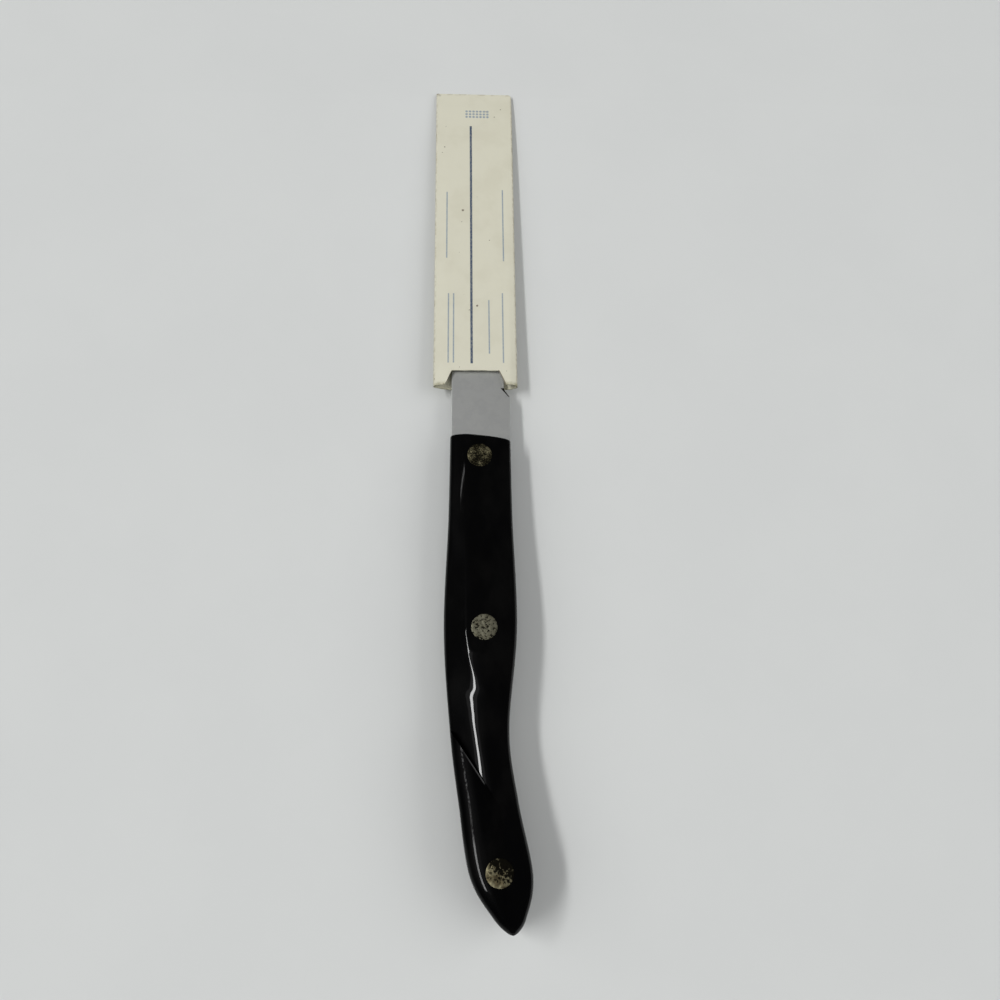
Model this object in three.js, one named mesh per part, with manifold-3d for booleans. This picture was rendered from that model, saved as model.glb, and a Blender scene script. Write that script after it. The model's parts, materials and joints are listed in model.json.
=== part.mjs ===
// A trimming knife lying on its side in a folded card blade sleeve.
// The blade and its full tang are one steel plate. Two moulded scales are held to the tang by three
// two-piece cutler's rivets, and the sleeve slides on over the serrated blade.
//
// Millimetres. Each piece is drawn in the knife's own frame: +Y runs from the handle's front to the
// blade's point, +X towards the cutting edge, and z = 0 is the middle of the steel. The finished knife
// is then tipped into the pose in which it lies on a table, with +Z up.

import * as THREE from "three";
import { mergeVertices } from "three/addons/utils/BufferGeometryUtils.js";
import Module from "manifold-3d";

const wasm = await Module();
wasm.setup();

// Blade
const bladeLength = 114.5; // handle front to point
const bladeWidth = 16.4; // spine to tooth tips
const bladeThickness = 1.6;
const pointThickness = 0.6; // steel left at the point's back
const taperLength = 30; // stretch over which the steel thins towards the point
const spineDropLength = 40; // stretch over which the spine falls to the point
const edgeRiseLength = 26; // stretch over which the edge lifts to the point
const pointOffset = 3; // the point lies this far to the edge side of the middle line
const pointWidth = 0.6; // the point is blunted to this width
const grindWidth = 6; // width of the bevel behind the tooth tips, ground on the lower face alone
const edgeThickness = 0.3; // steel left along the ground edge
const heelLength = 13.1; // plain flat stretch between the handle and the first tooth
const plungeLength = 1.2; // stretch in which the flat runs out into the bevel
const toothPitch = 8;
const toothDepth = 1.6;
const toothRamp = 2; // length of the slanted flank on each side of a tooth
const plainPoint = 12; // stretch before the point that has no teeth

// Handle outline: the front half's stations are measured back from the handle's front, and the rear
// half's forward from its end
const handleLength = 127;
const neckAt = 24;
const bellyAt = 54;
const waistFromEnd = 47;
const hipFromEnd = 30;
const buttFromEnd = 13;
const noseFromEnd = 3.5; // where the round nose of the butt starts
const frontSlant = 1.3; // the scales start this much further back on the edge side

// How far the outline stands from the blade's middle line at each station
const spineFront = 8.5;
const spineNeck = 8.9;
const spineBelly = 9.95;
const spineWaist = 8.25;
const spineHip = 6.1;
const spineButt = 3.4;
const spineNose = -2.25;
const edgeFront = 8.15;
const edgeNeck = 8.3;
const edgeBelly = 8.95;
const edgeWaist = 6.55;
const edgeHip = 8.45;
const edgeButt = 11.65;
const edgeNose = 9.75;
const noseOffset = 6.65; // the middle of the nose, to the edge side of the blade's middle line
const noseWidth = 1.4; // flat left at the end of the nose

// Handle height above the blade's middle plane at each station
const frontHeight = 4.9;
const neckHeight = 5.6;
const bellyHeight = 6.9;
const waistHeight = 6.4;
const hipHeight = 6.7;
const buttHeight = 6.9;
const shoulderHeight = 5.9; // where the nose starts
const noseRise = 3.2; // above the tang at the end of the nose
const sectionPower = 3.6; // squareness of the handle's section: 2 is an ellipse
const frontRound = 1; // rounding of the scales' front edge and corners
const seamGap = 0.1; // between the tang and each scale

// Hollow for the thumb and finger on the spine side of each scale, measured forward from the handle's end
const hollowOpenFromEnd = 103; // where its floor starts to fall
const hollowStartFromEnd = 76; // where its rim leaves the handle's line
const hollowKneeFromEnd = 55.5;
const hollowStopFromEnd = 32;
const hollowStartOffset = -4.4; // offsets of the hollow's rim from the blade's middle line
const hollowKneeOffset = -0.5;
const hollowStopOffset = 1.3;
const hollowDepth = 2.6; // at the spine side
const hollowDeepening = 24; // the hollow deepens over this stretch
const hollowLead = 15; // the hollow's rear wall meets the outline this far ahead of its rim's end
const hollowSkew = 32; // reach of the slant that the rear wall gives to the rows of the surface
const hollowRiser = 0.5; // width of the hollow's rear wall

// Rivets, with offsets from the handle's own centre line
const rivetFrontAt = 6.6; // back from the handle's front
const rivetMiddleAt = 54.7; // back from the handle's front
const rivetRearFromEnd = 13.6;
const rivetFrontOffset = -0.25;
const rivetMiddleOffset = 0.9;
const rivetRearOffset = -0.45;
const rivetHeadDiameter = 6.7;
const rivetHeadThickness = 1.7;
const rivetTubeDiameter = 4.4;
const rivetPinDiameter = 2.8;
const rivetBoreFloor = 1; // solid end of the tube's bore
const rivetPinGap = 0.5; // pin's end to the bottom of the bore
const rivetFit = 0.1; // clearance of heads, tubes and pins in their holes

// Card sleeve
const card = 0.45;
const sleeveMouthGap = 3.1; // first tooth to the sleeve's mouth
const sleeveSpineGap = 4.75; // spine to the card
const sleeveEdgeGap = 1.9; // tooth tips to the card
const sleeveFaceGap = 0.3; // blade faces to the card
const sleevePointGap = 1.2; // point to the bottom of the pocket
const pocketEndGap = 0.2; // height of the pocket at its bottom
const glueStrip = 5; // flat glued end beyond the pocket
const foldGap = 0.3; // height of the pocket at its side folds
const spineFoldSlope = 4.2; // width of the panels' slope down to the spine-side fold
const edgeFoldSlope = 2;
const notchDepth = 4.7; // thumb notch in the front panel
const notchWidth = 13.3;
const notchFlare = 2; // the notch's mouth is this much wider on each side
const notchOffset = -1.5; // the notch's middle, from the blade's middle line

// Facets
const scaleRows = 40;
const noseCrowding = 1.7; // rows of the scales crowd towards the nose by this power
const frontRows = 4;
const columnsPerSide = 9;
const rimLimit = 0.9; // the rim stays this share of the half width from the centre line
const tangRows = 26;
const pointRows = 14;
const rivetFacets = 28;
const nearest = 0.15; // stations closer together than this are one
const halvings = 40;

const steel = new THREE.MeshStandardMaterial({ color: 0x9a9b99, roughness: 0.38, metalness: 1 });
const resin = new THREE.MeshStandardMaterial({ color: 0x060607, roughness: 0.18, metalness: 0 });
const nickelSilver = new THREE.MeshStandardMaterial({ color: 0x9d9883, roughness: 0.45, metalness: 1 });
const whiteCard = new THREE.MeshStandardMaterial({ color: 0xd9d6c3, roughness: 0.7, metalness: 0 });

const { clamp, lerp, smoothstep } = THREE.MathUtils;

// A geometry as a solid that can be cut, and back again
function solidOf(geometry) {
  const bare = geometry.clone();
  bare.deleteAttribute("normal");
  bare.deleteAttribute("uv");
  const merged = mergeVertices(bare);
  const vertProperties = merged.attributes.position.array;
  const triVerts = Uint32Array.from(merged.index.array);
  return new wasm.Manifold(new wasm.Mesh({ numProp: 3, vertProperties, triVerts }));
}

function geometryOf(solid) {
  const mesh = solid.getMesh();
  const geometry = new THREE.BufferGeometry();
  geometry.setAttribute("position", new THREE.BufferAttribute(mesh.vertProperties, 3));
  geometry.setIndex(new THREE.BufferAttribute(mesh.triVerts, 1));
  geometry.computeVertexNormals();
  return geometry;
}

// Closed skin over rings of equally many points, with a fan over the first and the last ring. Each ring
// runs from -x over the top to +x and back below, and the rings follow each other towards -y.
function loft(rings) {
  const count = rings[0].length;
  const points = rings.flat();
  const faces = [];
  for (let i = 0; i + 1 < rings.length; i++) {
    for (let j = 0; j < count; j++) {
      const a = i * count + j;
      const b = i * count + ((j + 1) % count);
      faces.push(a, a + count, b, b, a + count, b + count);
    }
  }
  const cap = (ring, start, turn) => {
    const middle = ring.reduce((sum, point) => sum.add(point), new THREE.Vector3()).divideScalar(count);
    const hub = points.push(middle) - 1;
    for (let j = 0; j < count; j++) {
      const pair = [start + j, start + ((j + 1) % count)];
      faces.push(hub, pair[turn], pair[1 - turn]);
    }
  };
  cap(rings[0], 0, 0);
  cap(rings.at(-1), (rings.length - 1) * count, 1);
  const geometry = new THREE.BufferGeometry().setFromPoints(points);
  geometry.setIndex(faces);
  return geometry;
}

// Round bar along z between two heights, at a place in the knife's plane
function bar(place, diameter, from, to) {
  const geometry = new THREE.CylinderGeometry(diameter / 2, diameter / 2, to - from, rivetFacets);
  geometry.rotateX(Math.PI / 2);
  geometry.translate(place.x, place.y, (from + to) / 2);
  return solidOf(geometry);
}

// Sorted stations without near doubles
function tidy(stations) {
  const sorted = [...stations].sort((a, b) => a - b);
  return sorted.filter((station, i) => i === 0 || station - sorted[i - 1] > nearest);
}

// Smooth curve through the values at the handle's stations, read by halving
function handleCurve(values) {
  const rear = [waistFromEnd, hipFromEnd, buttFromEnd, noseFromEnd, 0].map((far) => handleLength - far);
  const stations = [0, neckAt, bellyAt, ...rear];
  return curveThrough(stations.map((station, i) => new THREE.Vector2(station, values[i])));
}

function curveThrough(points) {
  const curve = new THREE.SplineCurve(points);
  return (station) => {
    let low = 0;
    let high = 1;
    for (let i = 0; i < halvings; i++) {
      const middle = (low + high) / 2;
      if (curve.getPoint(middle).x < station) low = middle;
      else high = middle;
    }
    return curve.getPoint(low).y;
  };
}

const scaleBase = bladeThickness / 2 + seamGap;
const noseHeight = scaleBase + noseRise;
const hollowOpenAt = handleLength - hollowOpenFromEnd;
const hollowStartAt = handleLength - hollowStartFromEnd;
const hollowKneeAt = handleLength - hollowKneeFromEnd;
const hollowStopAt = handleLength - hollowStopFromEnd;

const spineSide = handleCurve([
  -spineFront,
  -spineNeck,
  -spineBelly,
  -spineWaist,
  -spineHip,
  -spineButt,
  -spineNose,
  noseOffset - noseWidth / 2,
]);
const edgeSide = handleCurve([
  edgeFront,
  edgeNeck,
  edgeBelly,
  edgeWaist,
  edgeHip,
  edgeButt,
  edgeNose,
  noseOffset + noseWidth / 2,
]);
const handleHeight = handleCurve([
  frontHeight,
  neckHeight,
  bellyHeight,
  waistHeight,
  hipHeight,
  buttHeight,
  shoulderHeight,
  noseHeight,
]);
const hollowRim = curveThrough([
  new THREE.Vector2(0, hollowStartOffset),
  new THREE.Vector2(hollowStartAt, hollowStartOffset),
  new THREE.Vector2(hollowKneeAt, hollowKneeOffset),
  new THREE.Vector2(hollowStopAt, hollowStopOffset),
  new THREE.Vector2(handleLength, noseOffset),
]);

// Section of the handle: a squared ellipse of half width 1 and height 1, walked by an angle from +x
const section = {
  across: (angle) => Math.sign(Math.cos(angle)) * Math.abs(Math.cos(angle)) ** (2 / sectionPower),
  rise: (angle) => Math.sin(angle) ** (2 / sectionPower),
  angleAcross: (across) => Math.acos(Math.sign(across) * Math.abs(across) ** (sectionPower / 2)),
  angleRise: (rise) => Math.asin(rise ** (sectionPower / 2)),
};

// One row of points over the upper scale, from its spine side over the hollow's rim to its edge side
function scaleRow(station) {
  const skew = clamp((station - hollowStopAt) / hollowSkew, -1, 1);
  const spineAt = station - (hollowLead / 2) * (1 + Math.cos(Math.PI * skew));
  const edgeAt = Math.min(handleLength, station + frontSlant * (1 - smoothstep(station, 0, neckAt)));
  const rest = Math.max(0, frontRound - station);
  const inset = frontRound - Math.sqrt(frontRound ** 2 - rest ** 2);
  const spine = spineSide(spineAt) + inset;
  const edge = edgeSide(edgeAt) - inset;
  const centre = (spine + edge) / 2;
  const half = (edge - spine) / 2;
  const rim = clamp((hollowRim(station) - centre) / half, -rimLimit, rimLimit);
  const deepening = smoothstep(station, hollowOpenAt, hollowOpenAt + hollowDeepening);
  const carve = station > hollowStopAt ? 0 : hollowDepth * deepening;
  const heightAt = (back) => handleHeight(back) - inset;
  const footAngle = (back) => section.angleRise(scaleBase / heightAt(back));
  const point = (angle, back, floor) => {
    const height = heightAt(back);
    const rise = height * section.rise(angle);
    const sunk = (floor * carve * (rise - scaleBase)) / (height - scaleBase);
    return new THREE.Vector3(centre + half * section.across(angle), -back, Math.max(scaleBase, rise - sunk));
  };
  const rimAngle = section.angleAcross(rim);
  const row = [];
  for (let i = 0; i < columnsPerSide; i++) {
    const angle = lerp(Math.PI - footAngle(spineAt), rimAngle, i / columnsPerSide);
    const share = (section.across(angle) + 1) / (rim + 1);
    row.push(point(angle, lerp(spineAt, station, share), 1 - share));
  }
  for (let i = 0; i <= columnsPerSide; i++) {
    const share = i / columnsPerSide;
    row.push(point(lerp(rimAngle, footAngle(edgeAt), share), lerp(station, edgeAt, share), 0));
  }
  return row;
}

// Stations of a scale's rows: crowded at the rounded front and at the nose, with two at the hollow's wall
function scaleStations() {
  const stations = [];
  for (let i = 0; i < frontRows; i++) {
    stations.push(frontRound * (1 - Math.cos((i / frontRows) * (Math.PI / 2))));
  }
  for (let i = 0; i <= scaleRows; i++) {
    const share = 1 - (1 - i / scaleRows) ** noseCrowding;
    stations.push(lerp(frontRound, handleLength, share));
  }
  const wallMiddle = hollowStopAt + hollowRiser / 2;
  const clear = stations.filter((station) => Math.abs(station - wallMiddle) > hollowRiser);
  return tidy([...clear, hollowStopAt, hollowStopAt + hollowRiser]);
}

// Where a rivet goes through the handle, and how far from the middle plane its heads are seated
function rivetSeat(name, station, offset) {
  const centre = (spineSide(station) + edgeSide(station)) / 2;
  const place = new THREE.Vector2(centre + offset, -station);
  return { name, place, seat: handleHeight(station) - rivetHeadThickness };
}

const rivets = [
  rivetSeat("front", rivetFrontAt, rivetFrontOffset),
  rivetSeat("middle", rivetMiddleAt, rivetMiddleOffset),
  rivetSeat("rear", handleLength - rivetRearFromEnd, rivetRearOffset),
];
const reach = 2 * Math.max(bellyHeight, buttHeight); // past any surface of the handle
const holeOf = (diameter) => diameter + 2 * rivetFit;

// Upper scale, solid and with its three stepped rivet holes
const scaleBlank = solidOf(loft(scaleStations().map(scaleRow)));

function drilledScale() {
  let scale = scaleBlank;
  for (const { place, seat } of rivets) {
    scale = scale.subtract(bar(place, holeOf(rivetTubeDiameter), -reach, reach));
    scale = scale.subtract(bar(place, holeOf(rivetHeadDiameter), seat - rivetFit, reach));
  }
  return geometryOf(scale);
}

// Rivet head, ground flush with the scale around it
function rivetHead({ place, seat }) {
  return bar(place, rivetHeadDiameter, seat, reach).intersect(scaleBlank);
}

// Pin half: its pin goes down into the tube half's bore
function rivetPin(rivet) {
  const end = rivetBoreFloor + rivetPinGap - rivet.seat;
  const pin = bar(rivet.place, rivetPinDiameter, end, rivet.seat + rivetHeadThickness / 2);
  return geometryOf(rivetHead(rivet).add(pin));
}

// Tube half, drawn head up: its tube ends just short of the pin half's head
function rivetTube(rivet) {
  const end = rivetFit - rivet.seat;
  const tube = bar(rivet.place, rivetTubeDiameter, end, rivet.seat + rivetHeadThickness / 2);
  const bore = bar(rivet.place, holeOf(rivetPinDiameter), -reach, rivet.seat - rivetBoreFloor);
  return geometryOf(rivetHead(rivet).add(tube).subtract(bore));
}

// Half the steel's thickness at a distance in front of the handle
function steelHalf(distance) {
  const taper = clamp((distance - (bladeLength - taperLength)) / taperLength, 0, 1);
  return lerp(bladeThickness, pointThickness, taper) / 2;
}

// Depth of the serrations at a distance in front of the handle
const scallops = Math.floor((bladeLength - plainPoint - heelLength) / toothPitch);

function scallopDepth(distance) {
  const into = distance - heelLength;
  if (into <= 0 || into >= scallops * toothPitch) return 0;
  const fromTooth = Math.min(into % toothPitch, toothPitch - (into % toothPitch));
  return toothDepth * Math.min(1, fromTooth / toothRamp);
}

// Ring of the steel plate: flat above, and below with a bevel up to the edge
function steelRing(y, spine, grindStart, edge, half, edgeBelow) {
  const ring = [
    [spine, half],
    [grindStart, half],
    [edge, half],
    [edge, edgeBelow],
    [grindStart, -half],
    [spine, -half],
  ];
  return ring.map(([x, z]) => new THREE.Vector3(x, y, z));
}

function bladeRing(distance) {
  const drop = clamp((distance - (bladeLength - spineDropLength)) / spineDropLength, 0, 1) ** 2;
  const lift = clamp((distance - (bladeLength - edgeRiseLength)) / edgeRiseLength, 0, 1) ** 2;
  const spine = lerp(-bladeWidth / 2, pointOffset - pointWidth / 2, drop);
  const toothLine = lerp(bladeWidth / 2, pointOffset + pointWidth / 2, lift);
  const grindStart = Math.max(toothLine - grindWidth, (spine + toothLine) / 2);
  const ground = smoothstep(distance, heelLength - plungeLength, heelLength);
  const half = steelHalf(distance);
  const edgeBelow = lerp(-half, half - edgeThickness, ground);
  return steelRing(distance, spine, grindStart, toothLine - scallopDepth(distance), half, edgeBelow);
}

function tangRing(station) {
  const spine = spineSide(station);
  const edge = edgeSide(station);
  const half = bladeThickness / 2;
  return steelRing(-station, spine, (spine + edge) / 2, edge, half, -half);
}

// Blade and tang: one plate from the point to the nose of the butt
function bladeWithTang() {
  const distances = [0, heelLength - plungeLength, heelLength];
  for (let i = 0; i < scallops; i++) {
    const tooth = heelLength + i * toothPitch;
    distances.push(tooth + toothRamp, tooth + toothPitch - toothRamp, tooth + toothPitch);
  }
  for (let i = 0; i <= pointRows; i++) {
    distances.push(bladeLength - spineDropLength * (i / pointRows));
  }
  const stations = [];
  for (let i = 0; i <= tangRows; i++) {
    const share = 1 - (1 - i / tangRows) ** noseCrowding;
    stations.push(lerp(frontSlant, handleLength, share));
  }
  const rings = [...tidy(distances).toReversed().map(bladeRing), ...tidy(stations).map(tangRing)];
  let plate = solidOf(loft(rings));
  for (const { place } of rivets) {
    plate = plate.subtract(bar(place, holeOf(rivetTubeDiameter), -reach, reach));
  }
  return geometryOf(plate);
}

// Ring of the sleeve's outside (wall = card) or of its pocket (wall = 0)
function sleeveRing(y, pocketHalf, wall) {
  const left = -bladeWidth / 2 - sleeveSpineGap;
  const right = bladeWidth / 2 + sleeveEdgeGap;
  const high = pocketHalf + wall;
  const low = Math.min(pocketHalf, foldGap / 2) + wall;
  const upper = [
    [left - wall, low],
    [left + spineFoldSlope, high],
    [right - edgeFoldSlope, high],
    [right + wall, low],
  ];
  const lower = upper.toReversed().map(([x, z]) => [x, -z]);
  return [...upper, ...lower].map(([x, z]) => new THREE.Vector3(x, y, z));
}

// Trapezoid cut through the front panel at the mouth
function notchCutter(mouth) {
  const outline = new THREE.Shape();
  outline.moveTo(-notchWidth / 2 - 2 * notchFlare, -notchDepth);
  outline.lineTo(notchWidth / 2 + 2 * notchFlare, -notchDepth);
  outline.lineTo(notchWidth / 2, notchDepth);
  outline.lineTo(-notchWidth / 2, notchDepth);
  const geometry = new THREE.ExtrudeGeometry(outline, { depth: reach, bevelEnabled: false });
  geometry.translate(notchOffset, mouth, 0);
  return solidOf(geometry);
}

// Folded card sleeve: two panels that follow the blade's faces and meet in a flat glued end
function cardSleeve() {
  const mouth = heelLength + sleeveMouthGap;
  const pocketEnd = bladeLength + sleevePointGap;
  const distances = [bladeLength, bladeLength - taperLength, mouth];
  const pocketHalf = (distance) => steelHalf(distance) + sleeveFaceGap;
  const outside = [pocketEnd + glueStrip, pocketEnd].map((y) => sleeveRing(y, pocketEndGap / 2, card));
  outside.push(...distances.map((y) => sleeveRing(y, pocketHalf(y), card)));
  const inside = [sleeveRing(pocketEnd, pocketEndGap / 2, 0)];
  inside.push(...distances.map((y) => sleeveRing(y, pocketHalf(y), 0)));
  inside.push(sleeveRing(mouth - notchDepth, pocketHalf(mouth), 0));
  const tube = solidOf(loft(outside)).subtract(solidOf(loft(inside)));
  return geometryOf(tube.subtract(notchCutter(mouth)));
}

// Named mesh; a mirrored one is turned over through the blade's middle plane
function piece(name, geometry, material, mirrored = false) {
  const mesh = new THREE.Mesh(geometry, material);
  mesh.name = name;
  if (mirrored) mesh.scale.z = -1;
  return mesh;
}

const scaleGeometry = drilledScale();
const lowerScale = piece("scale_lower", scaleGeometry, resin, true);
const sleeve = piece("sleeve", cardSleeve(), whiteCard);

const knife = new THREE.Group();
knife.add(piece("blade", bladeWithTang(), steel));
knife.add(piece("scale_upper", scaleGeometry, resin), lowerScale);
for (const rivet of rivets) {
  knife.add(piece(`rivet_${rivet.name}_pin`, rivetPin(rivet), nickelSilver));
  knife.add(piece(`rivet_${rivet.name}_tube`, rivetTube(rivet), nickelSilver, true));
}
knife.add(sleeve);

// The knife lies with its lower scale and the far end of the sleeve on the table: the tip that brings
// both to the same height is found by halving
function lowest(mesh, tip) {
  const position = mesh.geometry.attributes.position;
  const height = (i) => position.getZ(i) * mesh.scale.z * Math.cos(tip) - position.getY(i) * Math.sin(tip);
  let low = Infinity;
  for (let i = 0; i < position.count; i++) low = Math.min(low, height(i));
  return low;
}

let level = 0;
let steep = Math.atan2(reach, bladeLength);
for (let i = 0; i < halvings; i++) {
  const tip = (level + steep) / 2;
  if (lowest(sleeve, tip) > lowest(lowerScale, tip)) level = tip;
  else steep = tip;
}
knife.rotation.x = -level;

// The origin is on the table, under the middle of the whole
const part = new THREE.Group();
part.add(knife);
const box = new THREE.Box3().setFromObject(part, true);
knife.position.set(-(box.min.x + box.max.x) / 2, -(box.min.y + box.max.y) / 2, -box.min.z);

export default part;
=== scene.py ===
"""Looks of a serrated trimming knife that lies on a pale table in its folded card blade sleeve.

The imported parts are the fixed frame. Each piece that shows is modelled here at fine resolution where its
part is, gets a procedural finish and rides on the part's body. Sizes are millimetres in the knife's own
frame: +Y runs from the handle's front to the blade's point, +X to the cutting edge, and z = 0 is the
middle of the steel. KnifeFrame turns them into the row's metres.
"""

import json
import logging
import math
from abc import ABC, abstractmethod
from collections.abc import Callable, Iterator, Sequence
from contextlib import contextmanager
from dataclasses import dataclass, field
from enum import Enum
from typing import ClassVar

import bpy
import numpy as np
from mathutils import Euler, Matrix, Vector, noise
from mathutils.bvhtree import BVHTree


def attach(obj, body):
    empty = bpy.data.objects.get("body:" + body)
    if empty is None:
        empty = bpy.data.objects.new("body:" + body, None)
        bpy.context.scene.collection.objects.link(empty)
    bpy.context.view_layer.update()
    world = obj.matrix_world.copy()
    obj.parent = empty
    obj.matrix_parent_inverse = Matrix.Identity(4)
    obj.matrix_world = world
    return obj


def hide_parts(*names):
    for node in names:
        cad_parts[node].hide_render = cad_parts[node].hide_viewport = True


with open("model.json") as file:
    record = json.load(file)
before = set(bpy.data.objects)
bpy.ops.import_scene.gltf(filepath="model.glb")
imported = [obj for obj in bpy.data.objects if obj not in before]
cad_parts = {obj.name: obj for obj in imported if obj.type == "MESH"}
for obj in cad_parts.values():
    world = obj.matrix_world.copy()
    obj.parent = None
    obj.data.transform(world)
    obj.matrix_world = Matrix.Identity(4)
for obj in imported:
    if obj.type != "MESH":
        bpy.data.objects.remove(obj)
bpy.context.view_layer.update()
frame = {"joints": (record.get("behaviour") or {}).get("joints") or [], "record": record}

LOG = logging.getLogger("trimming_knife")
MM = 0.001  # metres
TINY = 0.001  # millimetres that count as none
SMOOTH_ANGLE = math.radians(38)
CURVE_STEPS = 64
DRILL_FACETS = 64

Colour = tuple[float, float, float, float]
Pair = tuple[float, float]
Point = tuple[float, float, float]
Band = tuple[float, float, float]  # middle, width and soft edge
Spot = tuple[float, float, float]  # x, y and radius
Rule = tuple[float, float, float, float]  # x, width and y of the two ends
Curve = Callable[[np.ndarray | float], np.ndarray | float]


class Body(Enum):
    """Bodies that the pieces ride on."""

    KNIFE = "knife"
    SLEEVE = "sleeve"


class Slot(Enum):
    """Material slots of the record."""

    STEEL = "blade_steel"
    RESIN = "handle_resin"
    NICKEL = "nickel_silver"
    CARD = "sleeve_card"


class Side(Enum):
    """Which side of the tang a scale or a rivet half lies on; the value is the sign of z."""

    UPPER = 1
    LOWER = -1


class Half(Enum):
    """The two halves of a cutler's rivet."""

    PIN = "pin"
    TUBE = "tube"


class Pick(Enum):
    """Elements that an edit-mode operator acts on."""

    VERTICES = (True, False, False)
    EDGES = (False, True, False)
    FACES = (False, False, True)


def smoothstep(value: np.ndarray | float, low: float, high: float) -> np.ndarray | float:
    """Share from 0 at low to 1 at high, level at both ends."""
    share = np.clip((value - low) / (high - low), 0, 1)
    return share * share * (3 - 2 * share)


def curve_through(points: Sequence[Pair]) -> Curve:
    """Smooth curve through points, read as a function of its first coordinate.

    Args:
        points: Stations and values, with rising stations.

    Returns:
        A function that gives the value at a station.
    """
    knots = np.array([points[0], *points, points[-1]], float)
    share = np.linspace(0, 1, CURVE_STEPS)[:, None]
    traced = []
    for before, start, stop, after in zip(knots, knots[1:], knots[2:], knots[3:]):
        leave = (stop - before) / 2
        arrive = (after - start) / 2
        square = 3 * (stop - start) - 2 * leave - arrive
        cube = 2 * (start - stop) + leave + arrive
        traced.append(start + leave * share + square * share**2 + cube * share**3)
    line = np.concatenate(traced)
    return lambda station: np.interp(station, line[:, 0], line[:, 1])


def crowded(start: float, stop: float, count: int, power: float) -> np.ndarray:
    """Values from start to stop that crowd towards stop by a power, without stop itself."""
    share = 1 - (1 - np.arange(count) / count) ** power
    return start + (stop - start) * share


@dataclass(frozen=True)
class KnifeFrame:
    """The knife's own frame, which lies tilted in the row because the point is lower than the handle."""

    flat_point: Point = (-4.5, 8.0, 0.8)  # the mount blade_flat, in this frame

    def matrix(self) -> Matrix:
        """Finds how this frame lies in the row.

        Returns:
            Transform from this frame's millimetres to the row's metres.
        """
        slide = frame["joints"][0]["axis"]
        mount = next(m for m in frame["record"]["mounts"] if m["name"] == "blade_flat")
        turn = Matrix.Rotation(math.atan2(slide[2], slide[1]), 4, "X") @ Matrix.Scale(MM, 4)
        return Matrix.Translation(Vector(mount["pos_m"]) - turn @ Vector(self.flat_point)) @ turn

    def settle(self, piece: bpy.types.Object) -> None:
        """Moves a finished mesh into the row's frame and shades it.

        Args:
            piece: The piece, modelled in this frame's millimetres.
        """
        piece.data.transform(self.matrix())
        piece.data.update()
        Bench.take(piece)
        bpy.ops.object.shade_smooth_by_angle(angle=SMOOTH_ANGLE)


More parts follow.
